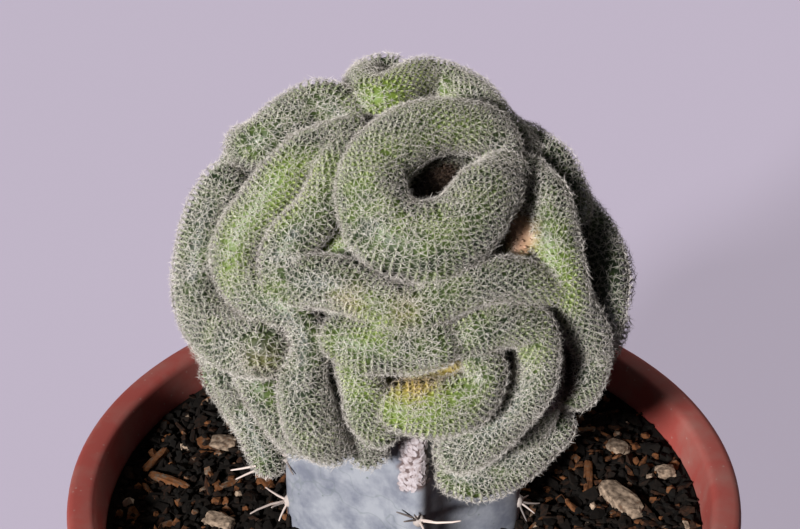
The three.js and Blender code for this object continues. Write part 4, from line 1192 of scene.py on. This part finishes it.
# Rib, level: picture steps right and down, reach towards the camera, dark share for age, partly painted
# shade on the rib at 78
SEEN_SPINES = {
    (282, 1): [(-54, 12, 0, 0), (-48, 20, 2, 0), (-18, 20, 3, 0.1), (10, 15, 3, 0.8), (22, 6, 2, 0.9),
               (-7, -10, 1, 0.3)],
    (282, 0): [(-21, -15, 1, 0.1), (-36, 11, 3, 0.3), (-7, 19, 2, 0), (9, -6, 2, 0.8), (24, 9, 1, 0.9),
               (-14, 4, 4, 0.2)],
    # These dark shares are partly painted shade: the spines lie in the crest's shadow
    (78, 0): [(14, 12, 1, 0.4), (20, 2, 0, 0.9), (6, 20, 1, 0.9), (10, -2, -6, 0.6), (4, 8, -7, 0.6)],
    (7, 1): [(40, -3, 3, 0), (13, -3, 4, 0.1), (-5, -9, 3, 0.9), (-15, -2, 3, 0.8), (-22, -10, 1, 0.9),
             (8, 14, 4, 0.1)],
}
print(sum(len(spines) for spines in SEEN_SPINES.values()), "spines placed by hand")

# %% Helpers for bent spines and cushions
def mesh_from(shape, name):
    """Mesh of a shape drawn with bmesh. The shape is freed."""
    mesh = bpy.data.meshes.new(name)
    shape.to_mesh(mesh)
    shape.free()
    return mesh


def tube(path, radii, sides):
    """Points and faces of a closed tube along a path, ended by its first and last points."""
    path = np.asarray(path, float)
    along = unit(np.gradient(path, axis=0))
    side = unit(np.cross(along, (0.31, 0.17, 0.94)))
    other = np.cross(along, side)
    angles = np.linspace(0, 2 * math.pi, sides, endpoint=False)
    rings = [c + r * (np.cos(angles)[:, None] * s + np.sin(angles)[:, None] * o)
             for c, r, s, o in zip(path, radii, side, other)]
    points = np.vstack([*rings, path[:1], path[-1:]])
    faces = []
    for i in range(len(path) - 1):
        for k in range(sides):
            a, b = i * sides + k, i * sides + (k + 1) % sides
            faces.append((a, b, b + sides, a + sides))
    first, last, end = len(points) - 2, len(points) - 1, (len(path) - 1) * sides
    faces += [(first, (k + 1) % sides, k) for k in range(sides)]
    faces += [(last, end + k, end + (k + 1) % sides) for k in range(sides)]
    return points, faces


def aimed(right, down, reach):
    """Vector from picture steps and a reach towards the camera."""
    across = np.array([1, 0, 0]) * right / PICTURE_SCALE
    upward = np.array([0, math.sin(TILT), math.cos(TILT)]) * down / PICTURE_SCALE
    return across - upward + np.array([0, -math.cos(TILT), math.sin(TILT)]) * reach


# %% Areoles and spines of the rootstock
STOCK_SPINE_RADIUS = 0.3
STOCK_SPINE_SIDES = 8
FAN_SPINES = 7
FAN_STEP = 26
# Places along a spine, and its thickness there
SPINE_STEPS = np.array([-0.08, 0.12, 0.45, 0.8, 0.97, 1])[:, None]
SPINE_TAPER = np.array([1.15, 1.05, 0.95, 0.75, 0.55, 0.25])
CUSHION_RADIUS = 1.45

spine_points, spine_faces, spine_age_and_shade = [], [], []
cushions = bmesh.new()
rng = np.random.default_rng(21)
for rib, rib_radius in zip(RIBS, RIB_RADII):
    out = toward(rib, 0)
    for level, height in enumerate(AREOLE_HEIGHTS):
        foot = out * (rib_radius - 0.6) + (0, 0, height - rib % 3)
        cushion = bmesh.ops.create_icosphere(cushions, subdivisions=3, radius=1)["verts"]
        for vertex in cushion:
            p = np.array(vertex.co) * (CUSHION_RADIUS + 0.25 * noise.noise(vertex.co * 3))
            across = p[0] * np.array([out[1], -out[0], 0]) * 0.9
            vertex.co = Vector((foot + across + out * p[1] * 0.8 + np.array([0, 0, p[2] * 1.1])) * MM)
        if (rib, level) in SEEN_SPINES:
            ways = [(aimed(*spine[:3]) + out * 0.6, spine[3]) for spine in SEEN_SPINES[rib, level]]
        else:
            ways = []
            for k in range(FAN_SPINES):
                turn = rib + (k - FAN_SPINES // 2) * FAN_STEP + rng.uniform(-9, 9)
                fan = toward(turn, rng.uniform(-8, 26) if level == 0 else rng.uniform(-24, 18))
                ways.append((fan * rng.uniform(4.5, 10.5), float(rng.random() < 0.3) * 0.8))
        for way, age_shade in ways:
            length = float(np.linalg.norm(way))
            bend = np.cross(way / length, rng.normal(size=3)) * 0.05 * length
            path = foot + way * SPINE_STEPS + bend * (SPINE_STEPS * (1 - SPINE_STEPS) * 4)
            radii = SPINE_TAPER * STOCK_SPINE_RADIUS * (0.75 + 0.025 * length)
            tube_points, tube_faces = tube(path, radii, STOCK_SPINE_SIDES)
            known = sum(len(q) for q in spine_points)
            spine_faces += [tuple(i + known for i in face) for face in tube_faces]
            spine_points.append(tube_points)
            spine_age_and_shade += [age_shade] * len(tube_points)
print(len(spine_points), "spines on", len(RIBS), "ribs")

# %% Pieces of the rootstock
stock_spines = new_object("rootstock_spines", np.vstack(spine_points), spine_faces)
store(stock_spines.data, "age_and_shade", "FLOAT", spine_age_and_shade)
stock_spines.data.materials.append(stock_spine)
wool_cushions = placed("areole_wool", mesh_from(cushions, "areole_wool"))
wool_cushions.data.materials.append(wool)
for piece in (stock_spines, wool_cushions):
    shade_smooth(piece.data)
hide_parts("rootstock")
for piece in (stock, flakes, stock_spines, wool_cushions):
    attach(piece, "root")
    print(piece.name, len(piece.data.polygons), "faces")

# %% [markdown]
# The mix fills the pot to nine millimetres below the rim. Its body is one closed surface: out across
# the bottom, up the wall, in over a lumpy top and down the hole where the rootstock stands. Compost
# is damp, dark and rough. One material serves the body and every loose bit: a tint stored on each
# runs through a ramp of colours from black compost over red bark to pale grit.

# %% Finish of the potting mix
MIX_STOPS = ((0, "#080503"), (0.3, "#140D08"), (0.5, "#2E1B10"), (0.68, "#653E22"), (0.8, "#584A3E"),
             (1, "#A08A76"))
GRIT_SIZE = 1.1

# Composted bark and pumice, broken and damp: rough, hardly any shine
potting_mix, tree, shader, place = new_material("potting_mix", 0.95)
shader.inputs["Specular IOR Level"].default_value = 0.2
tint_in = add(tree, "ShaderNodeAttribute", {"attribute_name": "tint"}).outputs["Fac"]
grit = add(tree, "ShaderNodeTexNoise", inputs={"Vector": place, "Scale": per_mm(GRIT_SIZE), "Detail": 4.0})
shift = add(tree, "ShaderNodeMapRange", {}, {
    "Value": grit.outputs["Fac"], 1: 0.3, 2: 0.7, 3: -0.12, 4: 0.12})
mixed = add(tree, "ShaderNodeMath", SUM, {0: tint_in, 1: shift.outputs[0]})
ramp = add(tree, "ShaderNodeValToRGB", inputs={"Fac": mixed.outputs[0]})
while len(ramp.color_ramp.elements) < len(MIX_STOPS):
    ramp.color_ramp.elements.new(0.5)
for element, (stop, code) in zip(ramp.color_ramp.elements, MIX_STOPS):
    element.position = stop
    element.color = linear(code)
bump = add(tree, "ShaderNodeBump", inputs={
    "Strength": 0.6, "Distance": 0.3 * MM, "Height": grit.outputs["Fac"]})
tree.links.new(ramp.outputs[0], shader.inputs["Base Color"])
tree.links.new(bump.outputs[0], shader.inputs["Normal"])

# %% Body of the potting mix
WALL = 2.2
FLOOR_TOP = 6
FOOT_RADIUS = 50
WALL_FOOT = (FOOT_RADIUS - WALL, FLOOR_TOP + 0.6)
WALL_TOP = (RIM_RADIUS - 7.2, POT_HEIGHT - 6)
SOIL_GAP = 0.32
SOIL_COUNT = 160
SOIL_RINGS = 34
SOIL_LUMP = 0.8
LUMP_LENGTH = 5
FINE_LUMP_LENGTH = 1.8
BODY_TINT = 0.1


def inner_wall(z):
    """Radius of the pot's inner wall at a height."""
    share = (z - WALL_FOOT[1]) / (WALL_TOP[1] - WALL_FOOT[1])
    return WALL_FOOT[0] + (WALL_TOP[0] - WALL_FOOT[0]) * share


hole = section(SOIL_TOP, STOCK_GAP, SOIL_COUNT)
spokes = unit(hole[:, :2])


def circle_ring(radius, z):
    """Ring round the pot's axis, its points in line with those of the hole."""
    return np.column_stack([spokes * radius, np.full(SOIL_COUNT, z)])


soil_edge = inner_wall(SOIL_TOP) - SOIL_GAP
soil_rings = [circle_ring(WALL_FOOT[0] - 1.6, FLOOR_TOP + SOIL_GAP)]
soil_rings.append(circle_ring(soil_edge, SOIL_TOP - 0.6))
for share in np.linspace(0, 1, SOIL_RINGS):
    ring = circle_ring(soil_edge, SOIL_TOP) * (1 - share) + hole * share
    for p in ring:
        broad = noise.noise(Vector((*p[:2] / LUMP_LENGTH, 1)))
        lumps = broad + 0.7 * noise.noise(Vector((*p[:2] / FINE_LUMP_LENGTH, 5)))
        p[2] = SOIL_TOP + 0.3 + SOIL_LUMP * lumps * min(1, 6 * (1 - share), 10 * share + 0.3)
    soil_rings.append(ring)
soil_rings.append(section(STOCK_BOTTOM - STOCK_GAP, STOCK_GAP, SOIL_COUNT))
soil = stacked("mix_body", soil_rings, (0, 0, FLOOR_TOP + SOIL_GAP), (0, 0, STOCK_BOTTOM - STOCK_GAP))
soil_points, soil_normals = corners(soil.data)
reach = np.hypot(soil_points[:, 0], soil_points[:, 1])
open_top = (soil_points[:, 2] > SOIL_TOP - 1.5) & (reach < soil_edge - 1.2) & (soil_normals[:, 2] > 0.5)
store(soil.data, "open_top", "FLOAT", open_top.astype(float))
store(soil.data, "tint", "FLOAT", np.full(len(soil_points), BODY_TINT))
soil.data.materials.append(potting_mix)
print(len(soil.data.polygons), "faces,", int(open_top.sum()), "points on the open top")

# %% [markdown]
# The loose bits are a few shapes drawn once and scattered many times: flat flakes and splinters of
# bark, rounded grit and small crumbs. A tree lays each at random on the mix, turns it, sizes it and
# stores its tint. The few big chips that stand out in the photograph are then placed one by one.

# %% Shapes of the bits
def lump(name, seed, sizes, roundness, detail):
    """Irregular bit of bark or grit that is one millimetre long before scaling."""
    bit = bmesh.new()
    bmesh.ops.create_icosphere(bit, subdivisions=detail, radius=0.5)
    for vertex in bit.verts:
        p = np.array(vertex.co) * 2
        box = p / max(abs(p))
        form = box * (1 - roundness) + p * roundness
        form = form * (1 + 0.35 * noise.noise(Vector(p * 1.3 + seed)))
        vertex.co = Vector(form * np.array(sizes) * 0.5 * MM)
    return bpy.data.objects.new(name, mesh_from(bit, name))


# Set, number of shapes, sizes, roundness, detail
BIT_SHAPES = (
    ("flake", 5, (1, 0.62, 0.24), 0.35, 1), ("splinter", 3, (1, 0.2, 0.14), 0.4, 1),
    ("grit", 4, (1, 0.8, 0.65), 0.8, 1), ("crumb", 3, (1, 0.8, 0.7), 0.7, 1),
)
shape_sets = {}
for name, count, sizes, roundness, detail in BIT_SHAPES:
    shape_sets[name] = bpy.data.collections.new(name)
    for number in range(count):
        bit = lump(name + str(number), 3.7 * number + len(name), sizes, roundness, detail)
        shape_sets[name].objects.link(bit)
print("shapes of", ", ".join(shape_sets))

# %% Tree that scatters the bits
# Far more to a square metre than fit, as with the flakes
BIT_DENSITY = 3e6

tree, group = new_tree(
    "scattered", Shapes=bpy.types.Collection, Spacing=float, Smallest=float, Largest=float,
    Darkest=float, Palest=float, Tilt=float, Seed=int, Material=str)
share = add(tree, "GeometryNodeInputNamedAttribute", FLOAT, {"Name": "open_top"})
spots = add(tree, "GeometryNodeDistributePointsOnFaces", {"distribute_method": "POISSON"}, {
    "Mesh": group["Geometry"], "Distance Min": group["Spacing"], "Density Max": BIT_DENSITY,
    "Density Factor": share.outputs[0], "Seed": group["Seed"]})
seeds = [add(tree, "FunctionNodeIntegerMath", SUM, {0: group["Seed"], 1: k + 1}).outputs[0]
         for k in range(4)]
tilt_down = add(tree, "ShaderNodeMath", PRODUCT, {0: group["Tilt"], 1: -1.0})
least = add(tree, "ShaderNodeCombineXYZ", inputs={"X": tilt_down.outputs[0], "Y": tilt_down.outputs[0]})
most = add(tree, "ShaderNodeCombineXYZ", inputs={"X": group["Tilt"], "Y": group["Tilt"], "Z": 2 * math.pi})
spin = add(tree, "FunctionNodeRandomValue", VECTOR, {
    0: least.outputs[0], 1: most.outputs[0], "Seed": seeds[0]})
turned = add(tree, "FunctionNodeEulerToRotation", inputs={0: spin.outputs[0]})
laid = add(tree, "FunctionNodeRotateRotation", LOCAL, {
    0: spots.outputs["Rotation"], 1: turned.outputs[0]})
size = add(tree, "FunctionNodeRandomValue", FLOAT, {
    2: group["Smallest"], 3: group["Largest"], "Seed": seeds[1]})
pick = add(tree, "FunctionNodeRandomValue", {"data_type": "INT"}, {4: 0, 5: 60, "Seed": seeds[2]})
shapes = add(tree, "GeometryNodeCollectionInfo", inputs={0: group["Shapes"], 1: True})
stand = add(tree, "GeometryNodeInstanceOnPoints", inputs={
    "Points": spots.outputs[0], "Instance": shapes.outputs[0], "Pick Instance": True,
    "Instance Index": pick.outputs[2], "Rotation": laid.outputs[0], "Scale": size.outputs[1]})
chance = add(tree, "FunctionNodeRandomValue", FLOAT, {"Seed": seeds[3]})
rare = add(tree, "ShaderNodeMath", {"operation": "POWER"}, {0: chance.outputs[1], 1: 2.5})
colour = add(tree, "ShaderNodeMapRange", {}, {
    "Value": rare.outputs[0], 3: group["Darkest"], 4: group["Palest"]})
tinted = add(tree, "GeometryNodeStoreNamedAttribute", {"data_type": "FLOAT", "domain": "INSTANCE"}, {
    "Geometry": stand.outputs[0], "Name": "tint", "Value": colour.outputs[0]})
close_tree(tree, tinted.outputs[0], group["Material"])
print("scatter tree of", len(tree.nodes), "nodes")

# %% Bits scattered over the mix
# Set, spacing, smallest, largest, darkest, palest, tilt
SCATTERS = (
    ("crumb", 2.2, 1.1, 3.0, 0.0, 0.5, 3.1), ("flake", 2.8, 2.2, 5.8, 0.1, 0.75, 0.55),
    ("splinter", 4.4, 4.0, 9.0, 0.2, 0.72, 0.4), ("grit", 5.4, 1.6, 3.6, 0.6, 1.0, 3.1),
)
bits = []
for number, (name, spacing, smallest, largest, darkest, palest, tilt) in enumerate(SCATTERS):
    source = placed("mix_source", soil.data.copy())
    bits.append(grown(
        source, "mix_" + name, tree, Shapes=shape_sets[name], Spacing=spacing * MM, Smallest=smallest,
        Largest=largest, Darkest=darkest, Palest=palest, Tilt=tilt, Seed=20 * number,
        Material=potting_mix))

# %% Chips that stand out
# x, y, length, width, thickness, turn in degrees, tint
SEEN_CHIPS = (
    (-58.2, 15.6, 9.6, 2, 1.6, 62, 0.68), (-54.2, 7.8, 10.5, 2.2, 1.6, -26, 0.7),
    (42.8, 9.5, 11.5, 2.2, 1.8, 84, 0.66), (49.4, 1.2, 13.6, 6, 3.2, -56, 0.88),
    (-41.4, -6.6, 7.4, 4, 2.8, -24, 0.9), (-42.8, 21.6, 6.8, 4.2, 2.6, -8, 0.84),
    (51, 20, 5.6, 4, 2.4, -40, 0.86), (61, 11, 4.6, 3.6, 2.4, 10, 0.88),
    (-32, 7, 4.4, 3, 2.2, -50, 0.66),
)
CHIP_REST = 0.9
chips = bmesh.new()
chip_tints = []
for number, (x, y, length, width, thickness, turn, chip_tint) in enumerate(SEEN_CHIPS):
    made = bmesh.ops.create_icosphere(chips, subdivisions=3, radius=1)["verts"]
    cosine, sine = math.cos(math.radians(turn)), math.sin(math.radians(turn))
    for vertex in made:
        p = np.array(vertex.co)
        uneven = 1 + 0.22 * noise.noise(Vector(p * 1.6 + 5 * number))
        form = (p / max(abs(p)) * 0.6 + p * 0.4) * uneven
        form = form * np.array((length, width, thickness)) / 2
        spot_x = x + form[0] * cosine - form[1] * sine
        spot_y = y + form[0] * sine + form[1] * cosine
        vertex.co = Vector((spot_x, spot_y, SOIL_TOP + CHIP_REST + form[2])) * MM
        chip_tints.append(chip_tint)
seen_chips = placed("mix_chips", mesh_from(chips, "mix_chips"))
seen_chips.data.materials.append(potting_mix)
store(seen_chips.data, "tint", "FLOAT", chip_tints)
bits.append(seen_chips)
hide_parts("potting_mix")
for piece in (soil, *bits):
    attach(piece, "root")
    print(piece.name, len(piece.data.polygons), "faces")

# %% [markdown]
# The pot is injection-moulded polypropylene, brick-red right through. Its skin came out of the mould
# with a satin sheen. Handling left fine scratches and dust, so the colour and the roughness change
# slightly from place to place. Every edge of a moulding is rounded.

# %% Finish of the pot
PLASTIC, PLASTIC_DULL, PLASTIC_DUST = linear("#8F4039"), linear("#8C574F"), linear("#9A7D75")
WEAR_SIZE = 11
DUST_SIZE = 2.6
# Real scratches are finer than the render shows, so they are drawn at 0.7 mm
SCRATCH_SIZE = 0.7

# Polypropylene, injection-moulded and handled: satin, dulled where it is worn
pot_plastic, tree, shader, place = new_material("satin_polypropylene", 0.6)
wear = add(tree, "ShaderNodeTexNoise", inputs={
    "Vector": place, "Scale": per_mm(WEAR_SIZE), "Detail": 5.0, "Roughness": 0.6})
worn = add(tree, "ShaderNodeMapRange", {}, {"Value": wear.outputs["Fac"], 1: 0.42, 2: 0.68})
plastic = add(tree, "ShaderNodeMix", COLOUR, {0: worn.outputs[0], 6: PLASTIC, 7: PLASTIC_DULL})
specks = add(tree, "ShaderNodeTexVoronoi", inputs={"Vector": place, "Scale": per_mm(DUST_SIZE)})
dust = add(tree, "ShaderNodeMapRange", {}, {
    "Value": specks.outputs["Distance"], 1: 0.13, 2: 0.06, 3: 0.0, 4: 0.6})
dusted = add(tree, "ShaderNodeMix", COLOUR, {0: dust.outputs[0], 6: plastic.outputs[2], 7: PLASTIC_DUST})
rough = add(tree, "ShaderNodeMapRange", {}, {
    "Value": wear.outputs["Fac"], 1: 0.35, 2: 0.7, 3: 0.56, 4: 0.72})
scratch = add(tree, "ShaderNodeTexNoise", inputs={
    "Vector": place, "Scale": per_mm(SCRATCH_SIZE), "Detail": 2.0})
bump = add(tree, "ShaderNodeBump", inputs={
    "Strength": 0.12, "Distance": 0.1 * MM, "Height": scratch.outputs["Fac"]})
tree.links.new(dusted.outputs[2], shader.inputs["Base Color"])
tree.links.new(rough.outputs[0], shader.inputs["Roughness"])
tree.links.new(bump.outputs[0], shader.inputs["Normal"])

# %% [markdown]
# The pot is a turned shape, so its half section is listed once as corners with a rounding each, and
# a ring of points is drawn at every point of the rounded section. A Bevel modifier would round the
# edges too, but here each corner has its own radius. Five holes are then drilled through the floor.

# %% Pot
POT_SIDES = 128
FOOT_INNER_RADIUS = 40
FLOOR_UNDERSIDE = 3
SKIRT_BOTTOM = 100.5
DRAIN_HOLES = 5
DRAIN_RADIUS = 4.5
DRAIN_CIRCLE = 27
DRILL_SIDES = 32
EDGE_POINTS = 4
# Radius, height, rounding of each corner from the underside outward, up and in again
POT_PROFILE = (
    (FOOT_INNER_RADIUS - 0.8, FLOOR_UNDERSIDE, 0.3), (FOOT_INNER_RADIUS, 0, 0.5), (FOOT_RADIUS, 0, 0.8),
    (inner_wall(SKIRT_BOTTOM) + WALL, SKIRT_BOTTOM, 0.1), (RIM_RADIUS - 5.1, POT_HEIGHT - 5.8, 0.5),
    (RIM_RADIUS - 3, POT_HEIGHT - 5.8, 0.5), (RIM_RADIUS - 2.5, SKIRT_BOTTOM, 0.4),
    (RIM_RADIUS - 0.8, SKIRT_BOTTOM, 0.5), (RIM_RADIUS, POT_HEIGHT - 4, 3), (RIM_RADIUS, POT_HEIGHT, 2),
    (RIM_RADIUS - 6.3, POT_HEIGHT, 1.8), (WALL_TOP[0], WALL_TOP[1], 3), (WALL_FOOT[0], FLOOR_TOP, 1.2),
)


def rounded(profile):
    """Profile with each corner replaced by a short arc."""
    points = []
    for i, (radius, height, size) in enumerate(profile):
        corner = np.array([radius, height])
        before = np.array(profile[i - 1][:2]) if i else np.array([0, height])
        after = np.array(profile[i + 1][:2]) if i + 1 < len(profile) else np.array([0, height])
        back, ahead = unit(before - corner), unit(after - corner)
        opening = math.acos(np.clip(back @ ahead, -1, 1))
        room = 0.45 * min(np.linalg.norm(before - corner), np.linalg.norm(after - corner))
        cut = min(size / math.tan(opening / 2), room)
        first, last = corner + back * cut, corner + ahead * cut
        for t in np.linspace(0, 1, EDGE_POINTS):
            points.append((1 - t) ** 2 * first + 2 * t * (1 - t) * corner + t**2 * last)
    return points


angles = np.linspace(0, 2 * math.pi, POT_SIDES, endpoint=False)
pot_rings = [np.column_stack([np.cos(angles) * r, np.sin(angles) * r, np.full(POT_SIDES, z)])
             for r, z in rounded(POT_PROFILE)]
pot = stacked("pot_body", pot_rings, (0, 0, FLOOR_UNDERSIDE), (0, 0, FLOOR_TOP))

# %% Drain holes
drills = bmesh.new()
for number in range(DRAIN_HOLES):
    angle = 2 * math.pi * (number + 0.5) / DRAIN_HOLES
    made = bmesh.ops.create_cone(
        drills, cap_ends=True, segments=DRILL_SIDES, radius1=DRAIN_RADIUS * MM, radius2=DRAIN_RADIUS * MM,
        depth=12 * MM)
    centre = Vector((DRAIN_CIRCLE * math.cos(angle), DRAIN_CIRCLE * math.sin(angle), 4)) * MM
    bmesh.ops.translate(drills, verts=made["verts"], vec=centre)
pot = cut_away(pot, placed("drills", mesh_from(drills, "drills")), "pot_body")
shade_smooth(pot.data)
pot.data.materials.clear()
pot.data.materials.append(pot_plastic)
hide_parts("pot")
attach(pot, "root")
print(len(pot.data.polygons), "faces")

# %% [markdown]
# The plant stands on a plain pale floor, so wide that it fills the picture as the photograph's soft
# backdrop does. A backdrop behind a plant is lit from the front and looks even, so part of the
# floor's brightness is a steady glow, and the rest shows the plant's soft shadow. The floor is a
# stage and isn't part of the object.

# %% Floor
FLOOR_REACH = 4000

floor_corners = [(x * FLOOR_REACH, y * FLOOR_REACH, 0) for x, y in ((-1, -1), (1, -1), (1, 1), (-1, 1))]
floor = new_object("floor", floor_corners, [(0, 1, 2, 3)])
# Matt emulsion paint, rolled: pale lilac grey without a shine
floor_paint, _, shader, _ = new_material("pale_matt_paint", 0.8)
shader.inputs["Base Color"].default_value = linear("#6F6875")
shader.inputs["Emission Color"].default_value = linear("#C6BBCC")
shader.inputs["Emission Strength"].default_value = 0.68
shader.inputs["Specular IOR Level"].default_value = 0.0
floor.visible_diffuse = False
floor.data.materials.append(floor_paint)

# %% [markdown]
# The photograph's light comes low from the front and the left, and one soft lamp gives it. A
# weak, very soft fill from behind shows the back and the rim without a second shadow, and it is kept
# out of reflections, where it would glare on the pot's lip. A dim pale sky lifts the deepest shade.

# %% Light
def sun(name, turn, height, strength, softness):
    """Far lamp from a direction. The angle that it fills softens its shadows."""
    lamp = bpy.data.lights.new(name, "SUN")
    lamp.energy = strength
    lamp.angle = math.radians(softness)
    light = bpy.data.objects.new(name, lamp)
    light.rotation_euler = Vector(toward(turn, height)).to_track_quat("Z", "Y").to_euler()
    bpy.context.scene.collection.objects.link(light)
    return light


key = sun("key", -34, 22, 6.2, 8)
fill = sun("back fill", 172, 14, 1.8, 40)
fill.visible_glossy = False
world = bpy.data.worlds.new("studio")
bpy.context.scene.world = world
world.use_nodes = True
sky_light = world.node_tree.nodes["Background"].inputs
sky_light["Color"].default_value = linear("#E6E2EE")
sky_light["Strength"].default_value = 0.05
bpy.context.scene.view_settings.view_transform = "Standard"
print("lamps", key.name, "and", fill.name)

# %% [markdown]
# The finer surface has to stay inside the box of the solids, apart from three hundredths of a side.

# %% Scene brought up to date
bpy.context.view_layer.update()
